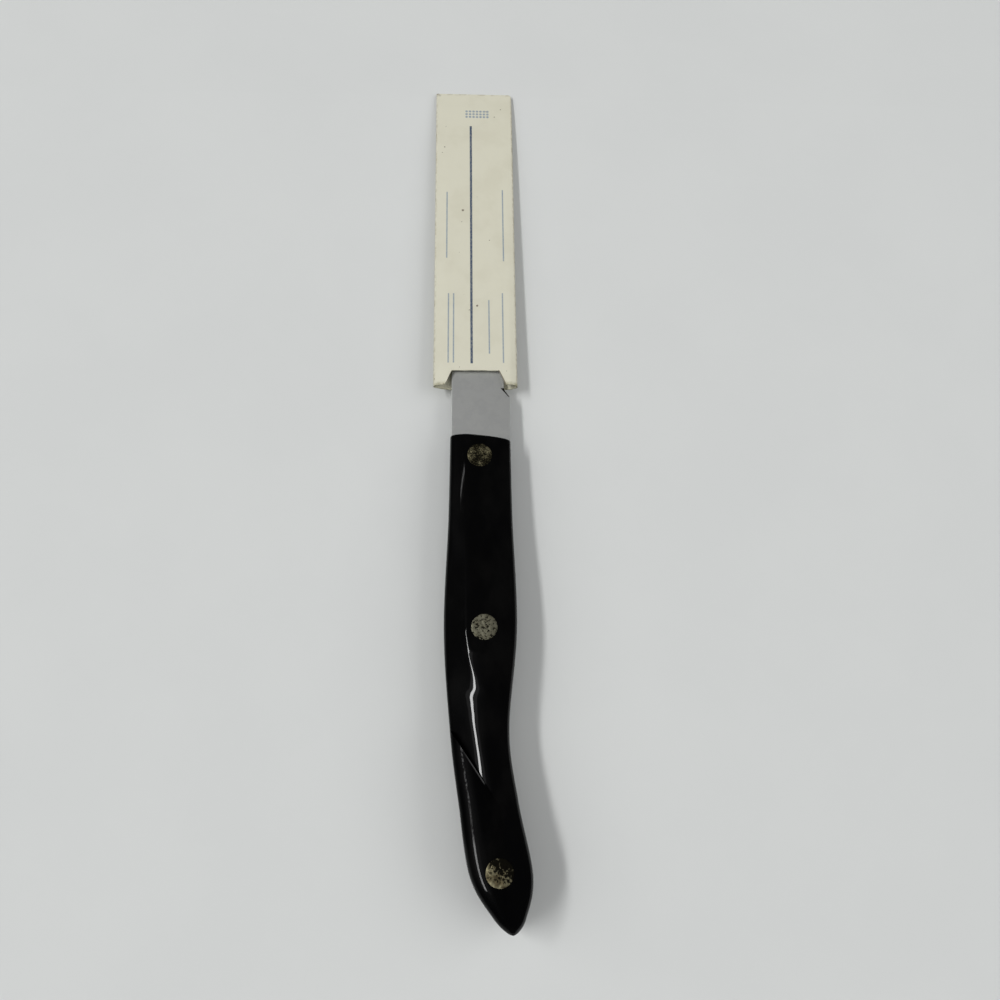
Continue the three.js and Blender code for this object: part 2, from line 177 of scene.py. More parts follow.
class Bench:
    """Modelling operators, run on one piece at a time as they are by hand."""

    @staticmethod
    def take(piece: bpy.types.Object) -> None:
        """Selects one piece alone and makes it active.

        Args:
            piece: The piece to select.
        """
        bpy.ops.object.select_all(action="DESELECT")
        piece.select_set(True)
        bpy.context.view_layer.objects.active = piece

    @staticmethod
    def named(name: str) -> bpy.types.Object:
        """Names the primitive that was just added, and its mesh.

        Args:
            name: Name of both.

        Returns:
            The primitive.
        """
        piece = bpy.context.active_object
        piece.name = name
        piece.data.name = name
        return piece

    @staticmethod
    @contextmanager
    def editing(piece: bpy.types.Object, pick: Pick) -> Iterator[None]:
        """Edit mode on one piece, for as long as the block lasts.

        Args:
            piece: The mesh object to edit.
            pick: The elements that the operators select.

        Yields:
            Nothing; the operators act on the piece.
        """
        Bench.take(piece)
        bpy.context.tool_settings.mesh_select_mode = pick.value
        bpy.ops.object.mode_set(mode="EDIT")
        yield
        bpy.ops.object.mode_set(mode="OBJECT")

    @staticmethod
    def grid(name: str, surface: np.ndarray) -> bpy.types.Object:
        """Adds a grid and lays its points on a surface.

        Args:
            name: Name of the new piece.
            surface: Points of the surface, as rows by columns by three.

        Returns:
            The new piece.
        """
        rows, columns, _ = surface.shape
        bpy.ops.object.select_all(action="DESELECT")
        bpy.ops.mesh.primitive_grid_add(x_subdivisions=columns - 1, y_subdivisions=rows - 1, size=2)
        piece = Bench.named(name)
        flat = np.empty(rows * columns * 3)
        piece.data.vertices.foreach_get("co", flat)
        place = (flat.reshape(-1, 3) + 1) / 2
        column = np.rint(place[:, 0] * (columns - 1)).astype(int)
        row = np.rint(place[:, 1] * (rows - 1)).astype(int)
        piece.data.vertices.foreach_set("co", surface[row, column].ravel())
        piece.data.update()
        return piece

    @staticmethod
    def close(piece: bpy.types.Object, fill: bool, merge: float = 1e-4) -> None:
        """Merges a piece's doubled points and turns its faces outwards.

        Args:
            piece: The piece to close.
            fill: Whether its holes are filled too.
            merge: Distance within which points are merged.
        """
        with Bench.editing(piece, Pick.VERTICES):
            bpy.ops.mesh.select_all(action="SELECT")
            bpy.ops.mesh.remove_doubles(threshold=merge)
            if fill:
                bpy.ops.mesh.fill_holes(sides=0)
            bpy.ops.mesh.select_all(action="SELECT")
            bpy.ops.mesh.normals_make_consistent(inside=False)

    @staticmethod
    def drill(piece: bpy.types.Object, place: Point, radius: float, depth: float) -> None:
        """Drills a round hole along z.

        Args:
            piece: The piece to drill.
            place: Middle of the drill's length.
            radius: Radius of the hole.
            depth: Length of the drill.
        """
        bpy.ops.object.select_all(action="DESELECT")
        bpy.ops.mesh.primitive_cylinder_add(
            vertices=DRILL_FACETS, radius=radius, depth=depth, location=place
        )
        drill = Bench.named("drill")
        hole = piece.modifiers.new("hole", "BOOLEAN")
        hole.operation = "DIFFERENCE"
        hole.solver = "EXACT"
        hole.object = drill
        Bench.take(piece)
        bpy.ops.object.modifier_apply(modifier=hole.name)
        bpy.data.meshes.remove(drill.data)

    @staticmethod
    def turn_over(piece: bpy.types.Object) -> None:
        """Mirrors a piece through the middle plane of the steel.

        Args:
            piece: The piece to mirror.
        """
        piece.data.transform(Matrix.Scale(-1, 4, Vector((0, 0, 1))))
        with Bench.editing(piece, Pick.FACES):
            bpy.ops.mesh.select_all(action="SELECT")
            bpy.ops.mesh.flip_normals()


class Wire:
    """A shader socket that can stand in an expression; each operator adds a Math node."""

    def __init__(self, paint: "Paint", socket: bpy.types.NodeSocket) -> None:
        """Keeps the socket and the paint whose nodes it belongs to."""
        self.paint = paint
        self.socket = socket

    def maths(self, operation: str, first: "Value", second: "Value" = 0.0) -> "Wire":
        """Adds a Math node on two values."""
        return self.paint.node("ShaderNodeMath", {"operation": operation}, {0: first, 1: second})

    def __add__(self, other: "Value") -> "Wire":
        """Sum."""
        return self.maths("ADD", self, other)

    def __radd__(self, other: "Value") -> "Wire":
        """Sum with a number in front."""
        return self.maths("ADD", other, self)

    def __sub__(self, other: "Value") -> "Wire":
        """Difference."""
        return self.maths("SUBTRACT", self, other)

    def __rsub__(self, other: "Value") -> "Wire":
        """Difference from a number."""
        return self.maths("SUBTRACT", other, self)

    def __mul__(self, other: "Value") -> "Wire":
        """Product."""
        return self.maths("MULTIPLY", self, other)

    def __rmul__(self, other: "Value") -> "Wire":
        """Product with a number in front."""
        return self.maths("MULTIPLY", other, self)

    def most(self, other: "Value") -> "Wire":
        """The greater of two values."""
        return self.maths("MAXIMUM", self, other)

    def size(self) -> "Wire":
        """The value without its sign."""
        return self.maths("ABSOLUTE", self)

    def step(self, low: float, high: float) -> "Wire":
        """Turns the value into a share that is level at both ends.

        Args:
            low: Value where the share is 0.
            high: Value where it is 1, which may be below low.

        Returns:
            A Wire on the share.
        """
        settings = {"interpolation_type": "SMOOTHSTEP"}
        return self.paint.node(
            "ShaderNodeMapRange", settings, {"Value": self, "From Min": low, "From Max": high}
        )

    def band(self, middle: float, width: float, soft: float) -> "Wire":
        """1 within a band about a value, falling to 0 over a soft edge."""
        return (self - middle).size().step(width / 2 + soft, width / 2)


Value = Wire | float


class Paint:
    """A material whose Principled shader is fed by expressions on Wires."""

    def __init__(self, name: str) -> None:
        """Starts a material with its default shader.

        Args:
            name: Name of the material.
        """
        self.material = bpy.data.materials.new(name)
        self.material.use_nodes = True
        self.tree = self.material.node_tree
        self.shader = self.tree.nodes["Principled BSDF"]

    def node(
        self,
        kind: str,
        settings: dict[str, object] | None = None,
        inputs: dict[str | int, object] | None = None,
        output: int | str = 0,
    ) -> Wire:
        """Adds one node.

        Args:
            kind: The node's type.
            settings: Properties of the node, set first.
            inputs: Values or Wires for its sockets, by name or number.
            output: The socket to return.

        Returns:
            A Wire on that output.
        """
        made = self.tree.nodes.new(kind)
        for name, value in (settings or {}).items():
            setattr(made, name, value)
        for name, value in (inputs or {}).items():
            self.feed(made.inputs[name], value)
        return Wire(self, made.outputs[output])

    def feed(self, socket: bpy.types.NodeSocket, value: object) -> None:
        """Links a Wire to a socket, or sets the socket to a constant.

        Args:
            socket: The input to feed.
            value: A Wire or a constant.
        """
        if isinstance(value, Wire):
            self.tree.links.new(value.socket, socket)
        else:
            socket.default_value = value

    def finish(self, **sockets: object) -> bpy.types.Material:
        """Feeds the shader's sockets.

        Args:
            sockets: Wires or constants by the sockets' names, with underscores for spaces.

        Returns:
            The finished material.
        """
        for name, value in sockets.items():
            self.feed(self.shader.inputs[name.replace("_", " ")], value)
        return self.material

    def place(self, stretch: Point = (1, 1, 1), shift: Point = (0, 0, 0), turn: float = 0) -> Wire:
        """Place on the object in millimetres of the knife's frame, seen from above.

        Args:
            stretch: Factor along each axis; a small one draws a pattern out.
            shift: Moves the pattern, in the stretched millimetres.
            turn: Turn about z in degrees.

        Returns:
            A Wire on the place.
        """
        origin = KnifeFrame().matrix().to_translation()
        spot = self.node("ShaderNodeTexCoord", output="Object")
        local = self.node("ShaderNodeVectorMath", {"operation": "SUBTRACT"}, {0: spot, 1: origin})
        values = {
            "Vector": local,
            "Location": shift,
            "Rotation": Euler((0, 0, math.radians(turn))),
            "Scale": [factor / MM for factor in stretch],
        }
        return self.node("ShaderNodeMapping", None, values)

    def axes(self, place: Wire) -> tuple[Wire, Wire, Wire]:
        """Splits a place into its x, y and z."""
        parts = self.node("ShaderNodeSeparateXYZ", None, {0: place}).socket.node
        return tuple(Wire(self, socket) for socket in parts.outputs)

    def noise(self, place: Wire, scale: float, detail: float = 3, rough: float = 0.55) -> Wire:
        """Cloudy noise from about 0.3 to 0.7; scale is in cells per millimetre."""
        values = {"Vector": place, "Scale": scale, "Detail": detail, "Roughness": rough}
        return self.node("ShaderNodeTexNoise", {"noise_dimensions": "3D"}, values)

    def mix(self, share: Value, first: Wire | Colour, second: Wire | Colour) -> Wire:
        """Blends two colours."""
        return self.node("ShaderNodeMix", {"data_type": "RGBA"}, {0: share, 6: first, 7: second}, 2)

    def bump(self, height: Wire, strength: float, distance: float) -> Wire:
        """Normal bent by a height; the distance is in millimetres."""
        values = {"Height": height, "Strength": strength, "Distance": distance * MM}
        return self.node("ShaderNodeBump", None, values)


@dataclass(frozen=True)
class SatinSteel:
    """Stainless steel with a fine satin grain across the blade, hazed and lightly scratched."""

    bright: Colour = (0.73, 0.74, 0.72, 1)
    hazed: Colour = (0.66, 0.67, 0.655, 1)
    tone_levels: Pair = (0.2, 0.85)
    roughness: float = 0.46
    metallic: float = 0.85  # the rest is the haze, which scatters light
    relief: Pair = (0.1, 0.01)  # strength and depth of the bumps
    grain_stretch: Point = (0.35, 9, 2)
    grain_share: float = 0.4  # part of the grain in the tone
    grain_rough: float = 0.08  # part of the grain in the roughness
    haze_scale: float = 0.16
    haze_levels: Pair = (0.38, 0.66)
    haze_share: float = 0.75
    haze_rough: float = 0.05
    scratch_stretch: Point = (7, 0.25, 1)
    scratch_turn: float = 17.0
    scratch_levels: Pair = (0.66, 0.72)
    scratch_shine: float = 0.05
    scratch_height: float = 0.4
    tooth_shade: Colour = (0.012, 0.011, 0.009, 1)  # painted shade: a dark line along the first tooth's flank, where the flank lies in shade
    tooth_shade_from: Pair = (8.2, 13.1)  # a point of that flank
    tooth_shade_slope: float = 0.8
    tooth_shade_reach: Pair = (-0.42, -0.3)  # distances beside the flank where the line sets in
    tooth_shade_span: Band = (14.4, 2.4, 0.3)  # stretch along y

    def make(self) -> bpy.types.Material:
        """Builds the material.

        Returns:
            The finished material.
        """
        paint = Paint("satin_steel")
        grain = paint.noise(paint.place(stretch=self.grain_stretch), 1.0, detail=4)
        haze = paint.noise(paint.place(), self.haze_scale, rough=0.6).step(*self.haze_levels)
        along_scratch = paint.place(stretch=self.scratch_stretch, turn=self.scratch_turn)
        scratch = paint.noise(along_scratch, 1.0, detail=2).step(*self.scratch_levels)
        worn = (haze * self.haze_share + grain * self.grain_share).step(*self.tone_levels)
        x, y, _ = paint.axes(paint.place())
        # painted shade along the first tooth's flank
        flank = (x - self.tooth_shade_from[0]) + (y - self.tooth_shade_from[1]) * self.tooth_shade_slope
        tooth_shade = flank.step(*self.tooth_shade_reach) * y.band(*self.tooth_shade_span)
        tone = paint.mix(worn, self.bright, self.hazed)
        dulled = self.roughness + grain * self.grain_rough + haze * self.haze_rough
        return paint.finish(
            Base_Color=paint.mix(tooth_shade, tone, self.tooth_shade),
            Metallic=self.metallic,
            Roughness=dulled - scratch * self.scratch_shine,
            Normal=paint.bump(grain + scratch * self.scratch_height, *self.relief),
        )


@dataclass(frozen=True)
class PolishedResin:
    """Near-black moulded resin whose polished skin the palm has rubbed away in part."""

    black: Colour = (0.0006, 0.0006, 0.0007, 1)
    dusty: Colour = (0.0026, 0.0025, 0.0024, 1)
    # painted highlight: a grey line along the hollow's rear rim stands in for the light that its rounded
    # edge catches
    painted_rim_highlight: Colour = (0.05, 0.05, 0.05, 1)
    smear_stretch: Point = (1, 0.5, 1)
    smear_scale: float = 0.12
    smear_levels: Pair = (0.42, 0.7)
    smear_share: float = 0.7  # part of the smears in the tone
    smear_rough: float = 0.1
    speckle_scale: float = 2.2
    speckle_levels: Pair = (0.35, 0.65)
    under_roughness: float = 0.4
    under_gloss: float = 0.02  # specular level below the polished skin
    skin: float = 0.48  # weight of the polished skin
    skin_roughness: float = 0.03
    rubbed: Pair = (1.0, 0.72)  # shares of the skin lost to the palm, and farther back
    eased_from: float = -106.0  # y where less of the skin is lost
    eased_soft: float = 2.0
    rubbed_side: Pair = (3.5, 0.5)  # x where the rubbed side ends, and where it is full
    rubbed_lean: float = 0.1  # that side moves over towards the edge, per millimetre back
    rubbed_start: Pair = (0.7, 0.2)  # distances ahead of the rear rim where it sets in
    patchy: float = 0.15  # share of the wear that is speckled
    rim_from: Pair = (-8.25, -80.25)  # spine end of the hollow's rear rim, along which a highlight is painted
    rim_slope: float = 1.5
    rim_highlight_line: Pair = (0.3, 0.2)  # width and soft edge of the painted highlight line
    rim_highlight_span: Pair = (-6.0, 0.3)  # x where the line starts and stops
    rim_highlight_fade: Pair = (4.0, 0.4)  # stretches over which it sets in and runs out

    def make(self) -> bpy.types.Material:
        """Builds the material.

        Returns:
            The finished material.
        """
        paint = Paint("polished_resin")
        smeared = paint.place(stretch=self.smear_stretch)
        smear = paint.noise(smeared, self.smear_scale, detail=4, rough=0.6).step(*self.smear_levels)
        speckle = paint.noise(paint.place(), self.speckle_scale, detail=2).step(*self.speckle_levels)
        x, y, _ = paint.axes(paint.place())
        across_rim = (y - self.rim_from[1]) + (x - self.rim_from[0]) * self.rim_slope
        farther = y.step(self.eased_from + self.eased_soft, self.eased_from - self.eased_soft)
        eased = farther * (self.rubbed[0] - self.rubbed[1])
        spine_side = (x + (y - self.rim_from[1]) * self.rubbed_lean).step(*self.rubbed_side)
        behind = across_rim.step(*self.rubbed_start)
        patches = (1 - self.patchy) + speckle * self.patchy
        palm = behind * spine_side * (self.rubbed[0] - eased) * patches
        start, stop = self.rim_highlight_span
        sets_in, runs_out = self.rim_highlight_fade
        # painted highlight along the hollow's rear rim, lighter than the resin
        rim = across_rim.band(0, *self.rim_highlight_line) * x.step(start, start + sets_in)
        rim = rim * x.step(stop, stop - runs_out)
        tone = paint.mix(smear * self.smear_share, self.black, self.dusty)
        return paint.finish(
            Base_Color=paint.mix(rim, tone, self.painted_rim_highlight),
            Specular_IOR_Level=self.under_gloss,
            Roughness=self.under_roughness + smear * self.smear_rough,
            Coat_Weight=self.skin - palm * self.skin,
            Coat_Roughness=self.skin_roughness,
        )


@dataclass(frozen=True)
class WornNickelSilver:
    """Nickel silver that is pitted and tarnished; each rivet has its own wear."""

    name: str
    centre: Pair  # the rivet's axis
    tarnish: float  # share of the face that is dark
    pit_scale: float  # pits per millimetre
    seed: float
    bright: Colour
    brown: Colour
    lean: Pair = (0, 0)  # the face darkens this way, per millimetre
    dark: Colour = (0.010, 0.009, 0.006, 1)
    metallic: float = 0.85
    gloss: float = 0.1  # specular level of the tarnish
    roughness: float = 0.46
    relief: Pair = (0.5, 0.06)  # strength and depth of the bumps
    tone_levels: Pair = (0.36, 0.64)
    cloud_scale: float = 0.5
    cloud_share: float = 0.35  # part of the clouds in the stain
    pit_share: float = 0.65
    fine_scale: float = 6.0
    fine_rough: float = 0.12
    fine_height: float = 0.15
    stain_levels: Pair = (0.66, 0.34)  # noise that stains a clean face, and its fall with the tarnish
    stain_soft: Pair = (0.05, 0.03)
    stain_rough: float = 0.25

    def make(self) -> bpy.types.Material:
        """Builds the material.

        Returns:
            The finished material.
        """
        paint = Paint(f"worn_nickel_silver_{self.name}")
        place = paint.place(shift=(self.seed, self.seed, 0))
        x, y, _ = paint.axes(paint.place())
        cloud = paint.noise(place, self.cloud_scale, rough=0.6)
        pits = paint.noise(place, self.pit_scale, detail=2, rough=0.7)
        fine = paint.noise(place, self.fine_scale, detail=2)
        leaning = (x - self.centre[0]) * self.lean[0] + (y - self.centre[1]) * self.lean[1]
        edge = self.stain_levels[0] - self.tarnish * self.stain_levels[1]
        stain = cloud * self.cloud_share + pits * self.pit_share + leaning
        stain = stain.step(edge - self.stain_soft[0], edge + self.stain_soft[1])
        tone = paint.mix(cloud.step(*self.tone_levels), self.bright, self.brown)
        return paint.finish(
            Base_Color=paint.mix(stain, tone, self.dark),
            Metallic=self.metallic,
            Specular_IOR_Level=self.gloss,
            Roughness=self.roughness + stain * self.stain_rough + fine * self.fine_rough,
            Normal=paint.bump(fine * self.fine_height - stain, *self.relief),
        )


@dataclass(frozen=True)
class PrintedCard:
    """Outside of the sleeve: cream coated card with plain blue rules, soiled along its folds."""

    left: float
    right: float
    mouth: float
    end: float
    cream: Colour = (0.61, 0.595, 0.485, 1)
    yellowed: Colour = (0.55, 0.53, 0.42, 1)
    soiled: Colour = (0.30, 0.265, 0.18, 1)
    olive: Colour = (0.20, 0.19, 0.08, 1)
    speck: Colour = (0.07, 0.045, 0.025, 1)
    ink: Colour = (0.018, 0.044, 0.1, 1)
    pale_ink: Colour = (0.145, 0.215, 0.3, 1)
    rule: Rule = (-2.5, 0.58, 23.0, 107.5)
    hairlines: tuple[Rule, ...] = (
        (7.1, 0.28, 57.5, 83.0), (6.6, 0.28, 23.2, 46.3), (2.6, 0.28, 26.2, 43.9),
        (-9.8, 0.28, 58.5, 82.0), (-9.2, 0.28, 23.2, 46.1), (-7.7, 0.28, 23.2, 46.1),
    )
    dots_middle: Pair = (-0.5, 112.4)
    dots_half: Pair = (3.85, 1.65)
    dots_soft: float = 0.02
    dot_pitch: float = 1.1
    dot_radius: float = 0.36
    dot_soft: float = 0.1
    fine_share: float = 0.8  # cover of the hairlines' and the dots' ink
    rule_soft: Pair = (0.12, 0.15)  # soft edges of the rules, across and along
    stain_spot: Spot = (-5.0, 75.4, 0.32)
    worn_corner: Spot = (-12.9, 120.3, 0.8)
    flank_from: Pair = (5.15, 20.65)  # top of the notch's flank on the cutting edge's side
    flank_slope: float = 0.45
    flank_line: Band = (0.1, 0.25, 0.15)  # a dark line beside that flank
    flank_span: Band = (18.6, 4.0, 0.3)  # its stretch along y
    side_border: float = 0.8  # width of the soiled borders along the folds
    end_border: float = 0.9
    wear_share: float = 0.55  # cover of these borders
    wear_rough: float = 0.1
    feet_reach: float = 1.5  # stretch from the mouth that is soiled olive
    feet_share: float = 0.7
    feet_least: float = 0.5
    tilt: float = 0.035  # fall of the knife along its length
    front_half: float = 0.2  # the print fades over this much on each side of the middle plane
    roughness: float = 0.58
    relief: Pair = (0.12, 0.05)  # strength and depth of the bumps
    cloud_scale: float = 0.09
    cloud_height: float = 2.0
    age_levels: Pair = (0.42, 0.68)
    age_share: float = 0.5
    fibre_stretch: Point = (1, 0.45, 1)
    fibre_scale: float = 3.2
    fibre_rough: float = 0.1
    rub_levels: Pair = (0.35, 0.65)
    rub_share: float = 0.25  # share of the ink that is rubbed off the fibres
    grime_scale: float = 0.6
    grime_levels: Pair = (0.4, 0.66)
    speck_scale: float = 0.75
    speck_levels: Pair = (0.785, 0.8)
    speck_share: float = 0.8

    def stripe(self, axes: tuple[Wire, ...], x: float, width: float, start: float, stop: float) -> Wire:
        """Mask of a rule along the sleeve, from its middle, its width and its two ends."""
        across = axes[0].band(x, width, self.rule_soft[0])
        return across * axes[1].band((start + stop) / 2, stop - start, self.rule_soft[1])

    @staticmethod
    def spot(axes: tuple[Wire, ...], x: float, y: float, radius: float) -> Wire:
        """Mask of a soft spot, from its place and its radius."""
        return axes[0].band(x, radius, radius) * axes[1].band(y, radius, radius)

    @staticmethod
    def border(axis: Wire, low: float, high: float, width: float) -> Wire:
        """Mask of the two borders of a stretch, fading inwards over a width."""
        half = (high - low) / 2
        return (axis - (low + high) / 2).size().step(half - width, half)

    def dots(self, axes: tuple[Wire, ...]) -> Wire:
        """Draws a small field of round dots near the sleeve's end.

        Args:
            axes: Wires on x, y and z.

        Returns:
            Mask of the dots.
        """
        block = axes[0].band(self.dots_middle[0], 2 * self.dots_half[0], self.dots_soft)
        block = block * axes[1].band(self.dots_middle[1], 2 * self.dots_half[1], self.dots_soft)
        squares = []
        for axis, middle in zip(axes, self.dots_middle):
            cell = axis.maths("PINGPONG", axis - middle, self.dot_pitch / 2)
            squares.append(cell * cell)
        outer = self.dot_radius + self.dot_soft
        return block * (squares[0] + squares[1]).step(outer**2, self.dot_radius**2)

    def make(self) -> bpy.types.Material:
        """Builds the material.

        Returns:
            The finished material.
        """
        paint = Paint("printed_card")
        place = paint.place()
        axes = paint.axes(place)
        cloud = paint.noise(place, self.cloud_scale, detail=4, rough=0.6)
        fibre = paint.noise(paint.place(stretch=self.fibre_stretch), self.fibre_scale, rough=0.6)
        grime = paint.noise(place, self.grime_scale, rough=0.65).step(*self.grime_levels)
        sides = self.border(axes[0], self.left, self.right, self.side_border)
        ends = self.border(axes[1], self.mouth, self.end, self.end_border)
        wear = sides.most(ends) * grime
        feet = axes[1].step(self.mouth + self.feet_reach, self.mouth) * grime.most(self.feet_least)
        front = (axes[2] + axes[1] * self.tilt).step(-self.front_half, self.front_half)
        specks = paint.noise(place, self.speck_scale, detail=1).step(*self.speck_levels)
        beside = (axes[0] - self.flank_from[0]) + (axes[1] - self.flank_from[1]) * self.flank_slope
        flank = beside.band(*self.flank_line) * axes[1].band(*self.flank_span) * front
        corner = self.spot(axes, *self.worn_corner) * grime
        fleck = self.spot(axes, *self.stain_spot)
        specks = specks.most(fleck).most(corner).most(flank)
        age = cloud.step(*self.age_levels)
        colour = paint.mix(age * self.age_share, self.cream, self.yellowed)
        fine_rules = self.dots(axes)
        for hairline in self.hairlines:
            fine_rules = fine_rules.most(self.stripe(axes, *hairline))
        rubbed = (1 - self.rub_share) + fibre.step(*self.rub_levels) * self.rub_share
        colour = paint.mix(fine_rules * front * rubbed * self.fine_share, colour, self.pale_ink)
        colour = paint.mix(self.stripe(axes, *self.rule) * front * rubbed, colour, self.ink)
        colour = paint.mix(wear * self.wear_share, colour, self.soiled)
        colour = paint.mix(feet * self.feet_share, colour, self.olive)
        colour = paint.mix(specks * self.speck_share, colour, self.speck)
        return paint.finish(
            Base_Color=colour,
            Roughness=self.roughness + fibre * self.fibre_rough + wear * self.wear_rough,
            Normal=paint.bump(fibre + cloud * self.cloud_height, *self.relief),
        )


@dataclass(frozen=True)
class RawCard:
    """Uncoated inside, or the cut edge, of the card."""

    name: str
    clean: Colour
    soiled: Colour
    roughness: float = 0.8
    relief: Pair = (0.3, 0.05)  # strength and depth of the bumps
    fibre_stretch: Point = (1, 0.4, 3)
    fibre_scale: float = 2.4
    fibre_share: float = 0.3  # part of the fibres in the tone
    fibre_rough: float = 0.1
    blotch_scale: float = 0.3
    blotch_levels: Pair = (0.4, 0.7)
    blotch_share: float = 0.7

    def make(self) -> bpy.types.Material:
        """Builds the material.

        Returns:
            The finished material.
        """
        paint = Paint(self.name)
        along_fibre = paint.place(stretch=self.fibre_stretch)
        fibre = paint.noise(along_fibre, self.fibre_scale, detail=4, rough=0.65)
        blotch = paint.noise(paint.place(), self.blotch_scale).step(*self.blotch_levels)
        soil = blotch * self.blotch_share + fibre * self.fibre_share
        return paint.finish(
            Base_Color=paint.mix(soil, self.clean, self.soiled),
            Roughness=self.roughness + fibre * self.fibre_rough,
            Normal=paint.bump(fibre, *self.relief),
        )


@dataclass(frozen=True)
class PaleTable:
    """Smooth white sheet with a faint cool cloudiness."""

    pale: Colour = (0.60, 0.613, 0.605, 1)
    cooler: Colour = (0.59, 0.603, 0.596, 1)
    roughness: float = 0.75
    cloud_scale: float = 0.02
    cloud_levels: Pair = (0.35, 0.65)
    cloud_rough: float = 0.1

    def make(self) -> bpy.types.Material:
        """Builds the material.

        Returns:
            The finished material.
        """
        paint = Paint("pale_table")
        cloud = paint.noise(paint.place(), self.cloud_scale, detail=4, rough=0.6)
        return paint.finish(
            Base_Color=paint.mix(cloud.step(*self.cloud_levels), self.pale, self.cooler),
            Roughness=self.roughness + cloud * self.cloud_rough,
        )


class KnifePiece(ABC):
    """A piece that is modelled in the knife's frame and stands for one node of the part."""

    body: ClassVar[Body] = Body.KNIFE
    slot: ClassVar[Slot]
    name: str

    @abstractmethod
    def build(self) -> bpy.types.Object:
        """Models the piece in the knife's frame."""

    def dress(self, piece: bpy.types.Object, materials: Sequence[bpy.types.Material]) -> None:
        """Gives the piece its finishes and its place in the part.

        Args:
            piece: The finished piece.
            materials: Its materials, in the order of its faces' indices.
        """
        for material in materials:
            piece.data.materials.append(material)
        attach(piece, self.body.value)
        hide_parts(self.name)

    def add(self, settled: KnifeFrame, *materials: bpy.types.Material) -> None:
        """Builds the piece, dresses it and reports it.

        Args:
            settled: Frame that the piece is moved into.
            materials: Its materials, in the order of its faces' indices.
        """
        piece = self.build()
        settled.settle(piece)
        self.dress(piece, materials)
        LOG.info("%s: %d faces, stands for %s", piece.name, len(piece.data.polygons), self.name)


